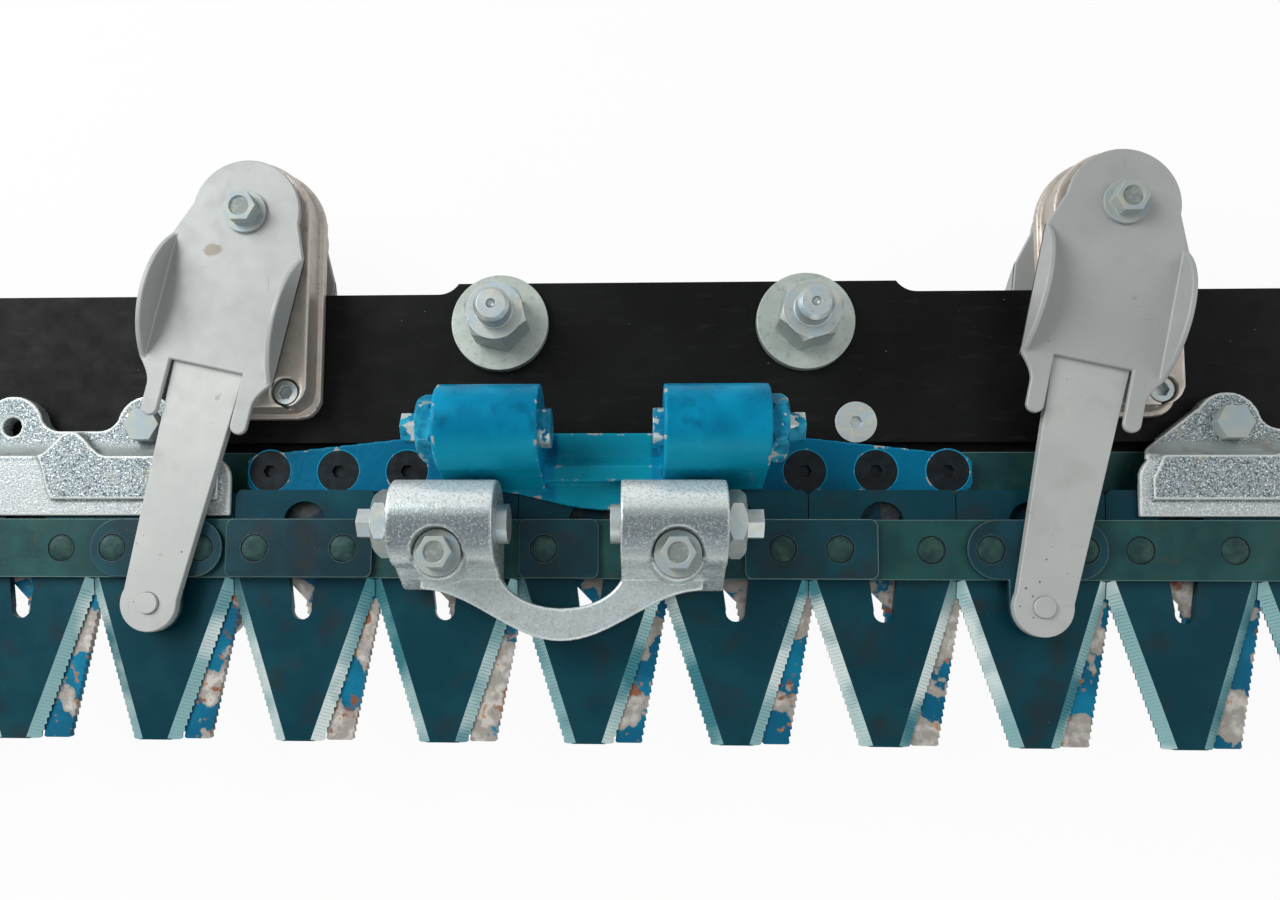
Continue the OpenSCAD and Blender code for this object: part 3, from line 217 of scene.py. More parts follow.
def make_stage():
    """Pale floor that stays nearly white for the camera and for gloss, and keeps a soft shadow."""
    mesh = bpy.data.meshes.new("floor")
    z = CAD_BOX[0].z - FLOOR_DROP * MM
    corners = [(x * FLOOR_HALF, y * FLOOR_HALF, z) for x, y in ((-1, -1), (1, -1), (1, 1), (-1, 1))]
    mesh.from_pydata(corners, [], [(0, 1, 2, 3)])
    floor = bpy.data.objects.new("floor", mesh)
    scene.collection.objects.link(floor)
    mat = bpy.data.materials.new("pale_floor")
    mat.use_nodes = True
    t = mat.node_tree
    t.nodes.clear()
    share = add(t, "ShaderNodeMath", {0: seen_directly(t), 1: FLOOR_WHITE}, operation="MULTIPLY")
    matt = add(t, "ShaderNodeBsdfDiffuse", {"Color": linear("#EDEDEC")})
    glow = add(t, "ShaderNodeEmission", {"Color": (1, 1, 1, 1), "Strength": 1.0})
    mix = add(t, "ShaderNodeMixShader",
              {0: share.outputs[0], 1: matt.outputs[0], 2: glow.outputs[0]})
    add(t, "ShaderNodeOutputMaterial", {"Surface": mix.outputs[0]})
    mesh.materials.append(mat)


def make_light():
    """A big softbox at the upper left, as the photo's shading says, and two weak ones."""
    world = bpy.data.worlds.new("studio")
    scene.world = world
    world.use_nodes = True
    t = world.node_tree
    t.nodes.clear()
    fill = add(t, "ShaderNodeBackground", {"Color": (1, 1, 1, 1), "Strength": ROOM_LIGHT})
    white = add(t, "ShaderNodeBackground", {"Color": (1, 1, 1, 1), "Strength": 1.0})
    mix = add(t, "ShaderNodeMixShader",
              {0: seen_directly(t), 1: fill.outputs[0], 2: white.outputs[0]})
    add(t, "ShaderNodeOutputWorld", {"Surface": mix.outputs[0]})
    for name, place, power in LAMPS:
        data = bpy.data.lights.new(name, "AREA")
        data.shape = "SQUARE"
        data.size = LAMP_SIZE
        data.energy = power
        lamp = bpy.data.objects.new(name, data)
        lamp.location = place
        lamp.rotation_euler = (Vector(LAMP_AIM) - Vector(place)).to_track_quat("-Z", "Y").to_euler()
        scene.collection.objects.link(lamp)


# Patterns and masks that the finishes share

def per_metre(size_mm):
    """How often something of that size fits into a metre."""
    return 1.0 / (size_mm * MM)


def place_of(tree, stretch=(1, 1, 1), turn=0.0):
    """Object coordinates, stretched and turned about Z."""
    coords = add(tree, "ShaderNodeTexCoord")
    return add(tree, "ShaderNodeMapping", {"Vector": coords.outputs["Object"], "Scale": stretch,
                                           "Rotation": (0, 0, math.radians(turn))}).outputs[0]


def opened(tree, value, low, high):
    """A value opened between low and high to a mask from 0 to 1."""
    return add(tree, "ShaderNodeMapRange",
               {"Value": value, "From Min": low, "From Max": high}).outputs[0]


def clouds(tree, size_mm, low, high, detail=3.0, stretch=(1, 1, 1), turn=0.0):
    """Soft noise of that size as a mask."""
    noise = add(tree, "ShaderNodeTexNoise", {"Vector": place_of(tree, stretch, turn),
                                             "Scale": per_metre(size_mm), "Detail": detail})
    return opened(tree, noise.outputs["Fac"], low, high)


def specks(tree, cell_mm, radius_share, kept_share):
    """Round specks, one in some of the cells."""
    cells = add(tree, "ShaderNodeTexVoronoi",
                {"Vector": place_of(tree), "Scale": per_metre(cell_mm)})
    near = add(tree, "ShaderNodeMath", {0: cells.outputs["Distance"], 1: radius_share},
               operation="LESS_THAN")
    rgb = add(tree, "ShaderNodeSeparateColor", {0: cells.outputs["Color"]})
    kept = add(tree, "ShaderNodeMath", {0: rgb.outputs[0], 1: kept_share}, operation="LESS_THAN")
    return both(tree, near.outputs[0], kept.outputs[0])


def edge_wear_and_glint(tree, radius_mm, amount):
    """Mask of the edges, from a rounded normal against the true one, broken up by noise.

    It marks worn edges, and on the zinc also painted highlights.
    """
    round_normal = add(tree, "ShaderNodeBevel", {"Radius": radius_mm * MM}, samples=6)
    true_normal = add(tree, "ShaderNodeNewGeometry")
    dot = add(tree, "ShaderNodeVectorMath",
              {0: round_normal.outputs[0], 1: true_normal.outputs["Normal"]},
              operation="DOT_PRODUCT")
    away = add(tree, "ShaderNodeMath", {0: 1.0, 1: dot.outputs["Value"]}, operation="SUBTRACT")
    torn = clouds(tree, 3.0, 0.62 - amount, 0.72 - amount)
    return both(tree, opened(tree, away.outputs[0], 0.01, 0.12), torn)


def cast_edges(tree, low=0.515, high=0.56):
    """Mask of a casting's rounded edges, where its fine mesh bulges."""
    return opened(tree, add(tree, "ShaderNodeNewGeometry").outputs["Pointiness"], low, high)


def painted_hollow_shade(tree):
    """Mask of a casting's inner corners, where shade is painted darker."""
    return opened(tree, add(tree, "ShaderNodeNewGeometry").outputs["Pointiness"], 0.49, 0.44)


def both(tree, a, b):
    """Where both masks hold; a plain number as the second weakens the first."""
    return add(tree, "ShaderNodeMath", {0: a, 1: b}, operation="MULTIPLY",
               use_clamp=True).outputs[0]


def past(tree, axis, start_mm, full_mm):
    """Mask that opens between two places along X, Y or Z in the piece's own frame."""
    coords = add(tree, "ShaderNodeTexCoord").outputs["Object"]
    place = add(tree, "ShaderNodeSeparateXYZ", {0: coords}).outputs[axis]
    return opened(tree, place, start_mm * MM, full_mm * MM)


def turned(tree, axis, start, full):
    """Mask that opens as the surface turns to face along X, Y or Z in the piece's own frame."""
    normal = add(tree, "ShaderNodeTexCoord").outputs["Normal"]
    return opened(tree, add(tree, "ShaderNodeSeparateXYZ", {0: normal}).outputs[axis], start, full)


def layered(tree, base, layers):
    """Base colour with further colours laid over it, each where its mask says."""
    colour = linear(base)
    for hex_colour, mask in layers:
        colour = add(tree, "ShaderNodeMix", {0: mask, 6: colour, 7: linear(hex_colour)},
                     data_type="RGBA").outputs[2]
    return colour


def surface(name, colour, rough, metal, height=None, height_mm=0.1, gloss=0.15):
    """A finish; its colour, rough, metal and height are values or functions of the node tree."""
    mat = bpy.data.materials.new(name)
    mat.use_nodes = True
    t = mat.node_tree
    t.nodes.clear()
    sockets = {"Specular IOR Level": gloss}
    for key, value in (("Base Color", colour), ("Roughness", rough), ("Metallic", metal)):
        sockets[key] = value(t) if callable(value) else value
    if height:
        sockets["Normal"] = add(t, "ShaderNodeBump", {"Height": height(t), "Strength": 1.0,
                                                      "Distance": height_mm * MM}).outputs[0]
    body = add(t, "ShaderNodeBsdfPrincipled", sockets)
    add(t, "ShaderNodeOutputMaterial", {"Surface": body.outputs[0]})
    return mat


def spread(tree, mask, low, high):
    """A mask from 0 to 1 turned into a value from low to high."""
    return add(tree, "ShaderNodeMapRange",
               {"Value": mask, "To Min": low, "To Max": high}).outputs[0]


# Finishes

def black_paint():
    """Satin black paint on flat steel bar: near black, fine pale dust, short faint rubs."""
    return surface(
        "satin_black_paint",
        lambda t: layered(t, "#0C0D0D", [
            ("#161717", clouds(t, 60, 0.4, 0.7)),
            ("#262726", both(t, clouds(t, 5, 0.58, 0.75, stretch=(0.25, 1, 1)), 0.5)),
            ("#6E6D69", both(t, specks(t, 2.0, 0.07, 0.25), 0.6)),
            ("#A8A59D", both(t, specks(t, 7.0, 0.035, 0.25), 0.8)),
            ("#8A6B3A", specks(t, 31.0, 0.028, 0.12))]),
        lambda t: spread(t, clouds(t, 12, 0.3, 0.7), 0.42, 0.6), 0.0,
        lambda t: clouds(t, 1.2, 0.2, 0.8), 0.03, gloss=0.08)


def stain(tree):
    """Mask of the oval stain on the left cover, with the ragged edge that dried liquid leaves."""
    coords = add(tree, "ShaderNodeTexCoord").outputs["Object"]
    middle = (*(v * MM for v in STAIN_AT), 0.0)
    size = (*(per_metre(v) for v in STAIN_HALF), 0.0)
    moved = add(tree, "ShaderNodeVectorMath", {0: coords, 1: middle}, operation="SUBTRACT")
    scaled = add(tree, "ShaderNodeVectorMath", {0: moved.outputs[0], 1: size}, operation="MULTIPLY")
    far = add(tree, "ShaderNodeVectorMath", {0: scaled.outputs[0]}, operation="LENGTH")
    ragged = both(tree, clouds(tree, 4, 0.2, 0.8), 0.5)
    edge = add(tree, "ShaderNodeMath", {0: far.outputs["Value"], 1: ragged}, operation="ADD")
    return opened(tree, edge.outputs[0], 1.3, 1.0)


def arm_paint(name, base, pale):
    """Aluminium-grey enamel on pressed sheet: even, faintly green, specks, scratches, a stain."""
    return surface(
        name,
        lambda t: layered(t, base, [
            (pale, clouds(t, 45, 0.35, 0.7)),
            ("#A6A7A2", both(t, clouds(t, 18, 0.58, 0.8), 0.5)),
            ("#8B8B85", both(t, clouds(t, 2.2, 0.70, 0.78, stretch=(1, 0.08, 1), turn=35), 0.6)),
            ("#8F9590", both(t, clouds(t, 2.6, 0.71, 0.78, stretch=(0.07, 1, 1), turn=12), 0.5)),
            ("#6B6B67", both(t, specks(t, 7.0, 0.045, 0.22), 0.8)),
            ("#8C8577", both(t, clouds(t, 7.5, 0.71, 0.76), 0.45)),
            ("#4B463E", both(t, specks(t, 3.4, 0.18, 0.16),
                             both(t, past(t, "Y", *DIRTY_TIP), 0.75))),
            ("#84735C", both(t, stain(t), 0.6)),
            ("#DADDDB", edge_wear_and_glint(t, 0.8, 0.25))]),
        lambda t: spread(t, clouds(t, 9, 0.3, 0.7), 0.4, 0.54), 0.1,
        lambda t: clouds(t, 0.9, 0.3, 0.7), 0.015, gloss=0.2)


def cast_block():
    """Rough cast iron polished by tumbling: warm grey with dark pits and bright rounded edges."""
    return surface(
        "tumbled_cast_iron",
        lambda t: layered(t, "#B5AEA5", [
            ("#C5BEB4", clouds(t, 14, 0.4, 0.7)),
            ("#968E83", both(t, clouds(t, 5, 0.55, 0.8), 0.7)),
            ("#BDA597", both(t, clouds(t, 20, 0.52, 0.68), 0.5)),
            ("#E0DBD3", both(t, cast_edges(t), 0.8)),
            # Darker in inner corners: painted shade.
            ("#8C857C", both(t, painted_hollow_shade(t), 0.7)),
            ("#5F5A55", specks(t, 3.4, 0.13, 0.25))]),
        lambda t: spread(t, clouds(t, 6, 0.3, 0.7), 0.32, 0.46), 0.35,
        lambda t: clouds(t, 1.4, 0.25, 0.75), 0.08, gloss=0.3)


def polished_web(tree):
    """Mask of the sloping web behind a guide's band, which is rubbed smooth."""
    slope = both(tree, turned(tree, "Z", 0.96, 0.88), turned(tree, "Z", 0.2, 0.4))
    return both(tree, slope, past(tree, "Y", BAND_BEGINS, WEB_ENDS))


def painted_light_band(tree):
    """Mask of a guide's band in front of and between its humps, where light is painted paler."""
    low = past(tree, "Z", HUMPS_BEGIN, BAND_TOP)
    ahead = past(tree, "Y", WEB_ENDS, BAND_BEGINS)
    return both(tree, both(tree, low, ahead), turned(tree, "Z", 0.85, 0.95))


def grainy_zinc():
    """Shot-blasted casting with a zinc coat: salt-and-pepper grain and pale smooth borders.

    The grit's own marks are finer; they are drawn about 1 mm wide so that they show.
    """
    return surface(
        "grainy_zinc_casting",
        lambda t: layered(t, "#8F9B9E", [
            ("#4A565E", clouds(t, 1.0, 0.50, 0.60, 2.0)),
            ("#E4EBEC", clouds(t, 0.85, 0.57, 0.64, 2.0)),
            ("#A0987A", both(t, clouds(t, 16, 0.6, 0.75), 0.4)),
            # Paler on the band: painted light.
            ("#E2E8E8", both(t, painted_light_band(t), 0.42)),
            ("#959E9F", polished_web(t)),
            ("#6F6A60", both(t, polished_web(t), both(t, clouds(t, 14, 0.52, 0.66), 0.5))),
            ("#DDE2DE", both(t, cast_edges(t, 0.507, 0.525), 0.8)),
            # Darker in inner corners: painted shade.
            ("#6E7777", both(t, painted_hollow_shade(t), 0.6))]),
        lambda t: spread(t, clouds(t, 1.5, 0.4, 0.6), 0.38, 0.56), 0.3,
        lambda t: clouds(t, 0.9, 0.3, 0.7, 2.0), 0.12, gloss=0.25)


def blue_paint():
    """Thick blue gloss paint on a casting: painted shade in hollows, painted light on front faces,
    the web between the bosses and edges, darker on flat ears, chipped at edges.
    """
    screw_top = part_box("lower_bracket_screws")[1].z / MM

    def painted_light_between_bosses(t):
        left, right = DRIVE_GAP
        return both(t, past(t, "X", left - GAP_FADE, left + GAP_FADE),
                    past(t, "X", right + GAP_FADE, right - GAP_FADE))

    def ears(t):
        return past(t, "Z", *(screw_top + rise for rise in EAR_TOP))

    return surface(
        "blue_gloss_paint",
        lambda t: layered(t, "#027DA6", [
            ("#0998C2", clouds(t, 25, 0.42, 0.68)),
            ("#035F83", both(t, clouds(t, 9, 0.56, 0.74), 0.7)),
            # Paler on faces turned to the front: painted light.
            ("#0AA0BE", both(t, turned(t, "Y", -0.25, -0.6), 0.8)),
            ("#02678D", both(t, ears(t), 0.8)),
            # Paler on the web between the bosses: painted light that lifts their shadow.
            ("#12A8BE", both(t, painted_light_between_bosses(t), 0.75)),
            # Paler on rounded edges: painted highlight.
            ("#22A6CC", both(t, cast_edges(t), 0.7)),
            # Darker in inner corners: painted shade.
            ("#034A62", both(t, painted_hollow_shade(t), 0.45)),
            ("#C4BFB8", both(t, clouds(t, 6.0, 0.60, 0.615, 5.0), cast_edges(t, 0.51, 0.53))),
            ("#3A3F42", both(t, specks(t, 6.0, 0.06, 0.14), 0.8))]),
        lambda t: spread(t, clouds(t, 7, 0.3, 0.7), 0.22, 0.34), 0.0,
        lambda t: clouds(t, 4.5, 0.3, 0.7, 2.0), 0.12, gloss=0.07)


def painted_over_zinc():
    """Zinc-plated screws caught by the blue paint: thick in places, flaked off in others."""
    return surface(
        "blue_paint_over_zinc",
        lambda t: layered(t, "#0B86AE", [
            ("#2BAFCF", clouds(t, 8, 0.45, 0.65)),
            ("#055A7E", both(t, clouds(t, 5, 0.56, 0.7), 0.6)),
            ("#B9C2C0", clouds(t, 11, 0.56, 0.575, 5.0)),
            ("#C9CDC9", edge_wear_and_glint(t, 0.6, 0.2))]),
        lambda t: spread(t, clouds(t, 5, 0.3, 0.7), 0.26, 0.38),
        lambda t: spread(t, clouds(t, 11, 0.56, 0.575, 5.0), 0.0, 0.4),
        lambda t: clouds(t, 2.0, 0.3, 0.7), 0.04, gloss=0.12)


def silver_casting():
    """Bright zinc-plated casting with sandy skin; painted highlights on rear and front faces and
    edges, a painted dark reflection along the bosses' tops and painted shade in hollows.

    The sand's own marks are finer; they are drawn about 1 mm wide so that they show.
    """
    boss_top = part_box("upper_drive_bracket")[1].z / MM

    def dark_reflection_crest(t):
        ahead = both(t, turned(t, "Y", 0.3, 0.05), turned(t, "Y", -0.8, -0.55))
        high = past(t, "Z", *(boss_top - depth for depth in DARK_REFLECTION_DEPTHS))
        return both(t, both(t, ahead, turned(t, "Z", 0.3, 0.6)), high)

    return surface(
        "bright_zinc_casting",
        lambda t: layered(t, "#B1BDBD", [
            # Near white on faces turned to the rear: painted highlight.
            ("#EEF5F5", both(t, turned(t, "Y", 0.2, 0.55), 0.9)),
            # Pale on faces turned to the front: painted highlight.
            ("#E0E8E8", both(t, turned(t, "Y", -0.6, -0.85), 0.8)),
            # Dark grey along the bosses' tops: painted reflection of a dark room.
            ("#626C72", both(t, dark_reflection_crest(t), 0.9)),
            ("#97A3A4", both(t, clouds(t, 1.3, 0.5, 0.66, 2.0), 0.6)),
            ("#D3DCDC", both(t, clouds(t, 1.0, 0.58, 0.68, 2.0), 0.5)),
            ("#8E8F88", both(t, clouds(t, 12, 0.58, 0.76), 0.4)),
            # Near white on rounded edges: painted highlight.
            ("#EEF3F3", both(t, cast_edges(t), 0.8)),
            # Darker in inner corners: painted shade.
            ("#6F7878", both(t, painted_hollow_shade(t), 0.7))]),
        lambda t: spread(t, clouds(t, 2.0, 0.4, 0.6), 0.24, 0.4), 0.4,
        lambda t: clouds(t, 1.0, 0.3, 0.7, 2.0), 0.05, gloss=0.4)


def teal_steel():
    """Dark teal oxide on flat rolled bar: greenish and brownish clouds, pale rubbed edges."""
    return surface(
        "teal_oxide_steel",
        lambda t: layered(t, "#183E41", [
            ("#275856", clouds(t, 30, 0.42, 0.7)),
            ("#2A4A41", both(t, clouds(t, 17, 0.5, 0.72), 0.7)),
            ("#4A4534", both(t, clouds(t, 11, 0.64, 0.76), 0.55)),
            ("#6F8F8C", both(t, specks(t, 5.0, 0.05, 0.2), 0.7)),
            ("#7F9C96", edge_wear_and_glint(t, 0.8, 0.4))]),
        lambda t: spread(t, clouds(t, 8, 0.3, 0.7), 0.34, 0.5), 0.15,
        lambda t: clouds(t, 1.6, 0.3, 0.7), 0.03)


def blued_layers(tree):
    """Colours of heat-blued spring steel, blue-black with brownish clouds and pale specks."""
    return [("#124753", clouds(tree, 40, 0.4, 0.66)),
            ("#2A2C2D", both(tree, clouds(tree, 21, 0.52, 0.7), 0.6)),
            ("#7C8E90", both(tree, specks(tree, 4.2, 0.05, 0.2), 0.6))]


def blued_steel():
    """Heat-blued spring steel of the plates, with pale edges."""
    return surface(
        "blued_spring_steel",
        lambda t: layered(t, "#12313A", blued_layers(t) + [("#8FA8A6", edge_wear_and_glint(t, 1.0, 0.45))]),
        lambda t: spread(t, clouds(t, 10, 0.3, 0.7), 0.3, 0.44), 0.15,
        lambda t: clouds(t, 1.1, 0.3, 0.7, stretch=(1, 0.15, 1)), 0.02)


def upper_blade_steel():
    """The blued section with its ground bevels: the sloping faces are bare, pale steel."""
    def bevel(t):
        normal = add(t, "ShaderNodeNewGeometry").outputs["True Normal"]
        up = add(t, "ShaderNodeSeparateXYZ", {0: normal}).outputs["Z"]
        least, most = BEVEL_FACING
        high = add(t, "ShaderNodeMath", {0: up, 1: most}, operation="LESS_THAN").outputs[0]
        low = add(t, "ShaderNodeMath", {0: up, 1: least}, operation="GREATER_THAN").outputs[0]
        return both(t, high, low)

    return surface(
        "blued_section_steel",
        lambda t: layered(t, "#083B48", blued_layers(t) + [
            ("#84ABAE", bevel(t)),
            # Brighter and bluer stretches on the bevels: painted reflections.
            ("#CBD8D6", both(t, bevel(t), clouds(t, 70, 0.48, 0.6))),
            ("#3F7B85", both(t, bevel(t), clouds(t, 55, 0.52, 0.64)))]),
        lambda t: spread(t, clouds(t, 10, 0.3, 0.7), 0.28, 0.4),
        lambda t: spread(t, bevel(t), 0.15, 0.7),
        lambda t: clouds(t, 1.1, 0.3, 0.7, stretch=(1, 0.15, 1)), 0.02, gloss=0.1)


def rivet_steel():
    """Soft rivet steel, blackened with the knife: greenish grey, rims too round to catch light."""
    return surface(
        "blackened_rivet_steel",
        lambda t: layered(t, "#203D3E", [
            ("#38574F", clouds(t, 7, 0.42, 0.66)),
            ("#20282A", both(t, clouds(t, 4, 0.55, 0.7), 0.6)),
            ("#7F918C", both(t, specks(t, 2.5, 0.07, 0.2), 0.6))]),
        lambda t: spread(t, clouds(t, 5, 0.3, 0.7), 0.32, 0.46), 0.15,
        lambda t: clouds(t, 0.9, 0.3, 0.7), 0.03)


def ground_bevel():
    """Bare ground steel of the bevel's ribs: pale and glossy, with painted reflections in brighter
    and bluer stretches.
    """
    return surface(
        "ground_steel",
        lambda t: layered(t, "#93B6B8", [("#D6E1DF", clouds(t, 70, 0.48, 0.6)),
                                         ("#4F8892", clouds(t, 55, 0.52, 0.64))]),
        0.34, 0.7)


def worn_blue_blade():
    """Blue paint worn off by use: hard-edged patches of bare grey steel, rust on some of them.

    The rear part, which the upper sections cover, is painted dark as their shade.
    """
    return surface(
        "worn_blue_steel",
        lambda t: layered(t, "#076080", [
            ("#0B7C9E", clouds(t, 30, 0.45, 0.65)),
            ("#A5A099", clouds(t, 25, 0.475, 0.49, 6.0)),
            ("#CFCBC4", both(t, clouds(t, 25, 0.50, 0.55, 6.0), clouds(t, 6, 0.42, 0.58))),
            ("#8E4F27", both(t, clouds(t, 14, 0.61, 0.65, 6.0), 0.85)),
            ("#BE7F40", both(t, clouds(t, 6, 0.64, 0.70, 4.0), 0.8)),
            ("#2A3B44", both(t, specks(t, 4.0, 0.09, 0.2), 0.7)),
            # Dark where the upper sections cover the lower: painted shade.
            ("#0A2029", both(t, past(t, "Y", *COVERED_SHADE), 0.9))]),
        lambda t: spread(t, clouds(t, 8, 0.3, 0.7), 0.4, 0.65), 0.15,
        lambda t: clouds(t, 2.0, 0.35, 0.65, 4.0), 0.06)


def zinc_plate():
    """Bright zinc plating on bolts and nuts: pale, with faint blue and yellow passivation."""
    return surface(
        "bright_zinc_plate",
        lambda t: layered(t, "#AAB1AE", [
            ("#A3B3BA", clouds(t, 9, 0.42, 0.62)),
            ("#C6C3AE", both(t, clouds(t, 7, 0.52, 0.7), 0.6)),
            ("#7D807D", both(t, clouds(t, 2.4, 0.6, 0.75), 0.5)),
            # Pale edges: worn zinc, and painted highlights.
            ("#E4E9E7", edge_wear_and_glint(t, 0.5, 0.35))]),
        lambda t: spread(t, clouds(t, 4, 0.3, 0.7), 0.31, 0.43), 0.55,
        lambda t: clouds(t, 1.0, 0.3, 0.7), 0.02, gloss=0.4)


def head_zinc(node):
    """Zinc plating on a bolt's head, with painted shade on its sunk middle."""
    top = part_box(node)[1].z / MM

    def sunk(t):
        rim, floor = (past(t, "Z", *(top - depth for depth in depths))
                      for depths in (DISH_RIM, DISH_FLOOR))
        return both(t, both(t, rim, floor), turned(t, "Z", 0.9, 0.95))

    return surface(
        node + "_zinc",
        lambda t: layered(t, "#AEB6B1", [
            ("#A3B3BA", clouds(t, 9, 0.42, 0.62)),
            ("#BDBCA6", both(t, clouds(t, 7, 0.52, 0.7), 0.6)),
            # Darker on the sunk middle: painted shade.
            ("#7B837F", both(t, sunk(t), 0.8)),
            ("#A3A9A4", both(t, sunk(t), both(t, clouds(t, 2.0, 0.52, 0.6), 0.7))),
            # Pale edges: worn zinc, and painted highlights.
            ("#E4E9E7", edge_wear_and_glint(t, 0.5, 0.4))]),
        lambda t: spread(t, clouds(t, 4, 0.3, 0.7), 0.44, 0.54), 0.12,
        lambda t: clouds(t, 1.0, 0.3, 0.7), 0.02, gloss=0.12)


def dull_zinc():
    """Zinc on the big washers, gone dull and greenish grey."""
    return surface(
        "dull_zinc_plate",
        lambda t: layered(t, "#AAB4AD", [
            ("#BAC3BC", clouds(t, 12, 0.42, 0.66)),
            ("#8A948E", both(t, clouds(t, 3, 0.55, 0.7), 0.6)),
            ("#D2D8D3", edge_wear_and_glint(t, 0.6, 0.3))]),
        lambda t: spread(t, clouds(t, 4, 0.3, 0.7), 0.36, 0.5), 0.35,
        lambda t: clouds(t, 1.0, 0.3, 0.7), 0.03, gloss=0.3)


def black_oxide():
    """Black oxide on socket screws: almost black, soft gloss."""
    return surface(
        "black_oxide",
        lambda t: layered(t, "#0C1216", [
            ("#17242B", clouds(t, 6, 0.45, 0.7)),
            ("#3F4A4E", both(t, specks(t, 3.0, 0.07, 0.15), 0.6))]),
        lambda t: spread(t, clouds(t, 3, 0.3, 0.7), 0.28, 0.42), 0.2,
        lambda t: clouds(t, 0.9, 0.3, 0.7), 0.02)


def bush_bronze():
    """Turned bearing bronze: yellow-brown with the plain gloss of a machined face."""
    return surface(
        "turned_bronze",
        lambda t: layered(t, "#9A7B45", [("#B8985C", clouds(t, 4, 0.4, 0.6))]),
        0.32, 0.9, lambda t: clouds(t, 0.8, 0.3, 0.7), 0.01)


def skid_paint():
    """Black paint on bent strip, rubbed to bare steel on the sole."""
    return surface(
        "skid_black_paint",
        lambda t: layered(t, "#151617", [
            ("#222324", clouds(t, 30, 0.4, 0.7)),
            ("#8D8A85", edge_wear_and_glint(t, 1.0, 0.3)),
            ("#A6A29B", both(t, turned(t, "Z", -0.6, -0.95), clouds(t, 14, 0.35, 0.5, 5.0))),
            ("#7A5636", both(t, clouds(t, 9, 0.66, 0.72), 0.7))]),
        lambda t: spread(t, clouds(t, 9, 0.3, 0.7), 0.36, 0.58), 0.1,
        lambda t: clouds(t, 1.5, 0.3, 0.7), 0.04)


# Finished pieces: a CAD node's own shape with its edges eased

def copy_of(node):
    """The node's mesh with its loose triangles merged and flat faces joined."""
    mesh = NODES[node].data.copy()
    bm = bmesh.new()
    bm.from_mesh(mesh)
    bmesh.ops.remove_doubles(bm, verts=bm.verts, dist=SAME_POINT * MM)
    bmesh.ops.dissolve_limit(bm, angle_limit=math.radians(SAME_FACE), verts=bm.verts,
                              edges=bm.edges)
    bm.to_mesh(mesh)
    bm.free()
    mesh.materials.clear()
    if mesh.has_custom_normals:
        mesh.attributes.remove(mesh.attributes["custom_normal"])
    mesh.shade_smooth()
    obj = bpy.data.objects.new(node + "_finished", mesh)
    scene.collection.objects.link(obj)
    return obj


def settle(obj):
    """The object's modifiers turned into its plain mesh."""
    bpy.context.view_layer.update()
    deps = bpy.context.evaluated_depsgraph_get()
    mesh = bpy.data.meshes.new_from_object(obj.evaluated_get(deps))
    obj.modifiers.clear()
    obj.data = mesh


def take_place(obj, node, material):
    """The finished piece stands for its node: same body, its own finish, and the node hidden."""
    obj.data.materials.clear()
    obj.data.materials.append(material)
    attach(obj, BODY_OF[node])
    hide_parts(node)


def round_corners(obj, radius_mm):
    """The upright edges at a plate's four corners, rounded in plan as a shear leaves them."""
    bm = bmesh.new()
    bm.from_mesh(obj.data)
    near = 0.02 * MM
    limits = [(min(v.co[i] for v in bm.verts), max(v.co[i] for v in bm.verts)) for i in (0, 1)]
    corners = []
    for e in bm.edges:
        a, b = (v.co for v in e.verts)
        upright = (a - b).xy.length < near
        at_corner = all(min(abs(a[i] - limit) for limit in limits[i]) < near for i in (0, 1))
        if upright and at_corner:
            corners.append(e)
    bmesh.ops.bevel(bm, geom=corners, offset=radius_mm * MM, offset_type="OFFSET", segments=6,
                    profile=0.5, affect="EDGES")
    bm.to_mesh(obj.data)
    bm.free()


def eased(node, material, width_mm=0.5, segments=2, corner_mm=0.0):
    """A machined or pressed piece: its sharp edges get a small round, its flat faces stay flat."""
    obj = copy_of(node)
    if corner_mm:
        round_corners(obj, corner_mm)
    ease = obj.modifiers.new("ease", "BEVEL")
    ease.width = width_mm * MM
    ease.segments = segments
    ease.limit_method = "ANGLE"
    ease.angle_limit = math.radians(SHARP_EDGE)
    ease.use_clamp_overlap = True
    flat = obj.modifiers.new("flat", "WEIGHTED_NORMAL")
    flat.mode = "FACE_AREA"
    flat.weight = 100
    settle(obj)
    take_place(obj, node, material)


def add_web(obj, side):
    """The sloping web between a guide's foot and its band, set into the copy before it is cast."""
    bm = bmesh.new()
    bm.from_mesh(obj.data)
    inner, outer = [], []
    for y, z, half, slant_half in GUIDE_WEB:
        inner.append((GUIDE_MIDDLE - (slant_half if side > 0 else half), y, z))
        outer.append((GUIDE_MIDDLE + half, y, z))
    blocks = [(inner, outer)]
    if side > 0:
        blocks.append([[(x, y, z) for x, y in GUIDE_TOE] for z in GUIDE_TOE_Z])
    for block in blocks:
        ends = [[bm.verts.new(Vector((BAR_MIDDLE + side * x, y, z)) * MM) for x, y, z in end]
                for end in block]
        faces = [bm.faces.new(end) for end in ends]
        for i in range(len(ends[0])):
            faces.append(bm.faces.new((ends[0][i - 1], ends[0][i], ends[1][i], ends[1][i - 1])))
        bmesh.ops.recalc_face_normals(bm, faces=faces)
        bmesh.ops.triangulate(bm, faces=faces)
    bm.to_mesh(obj.data)
    bm.free()


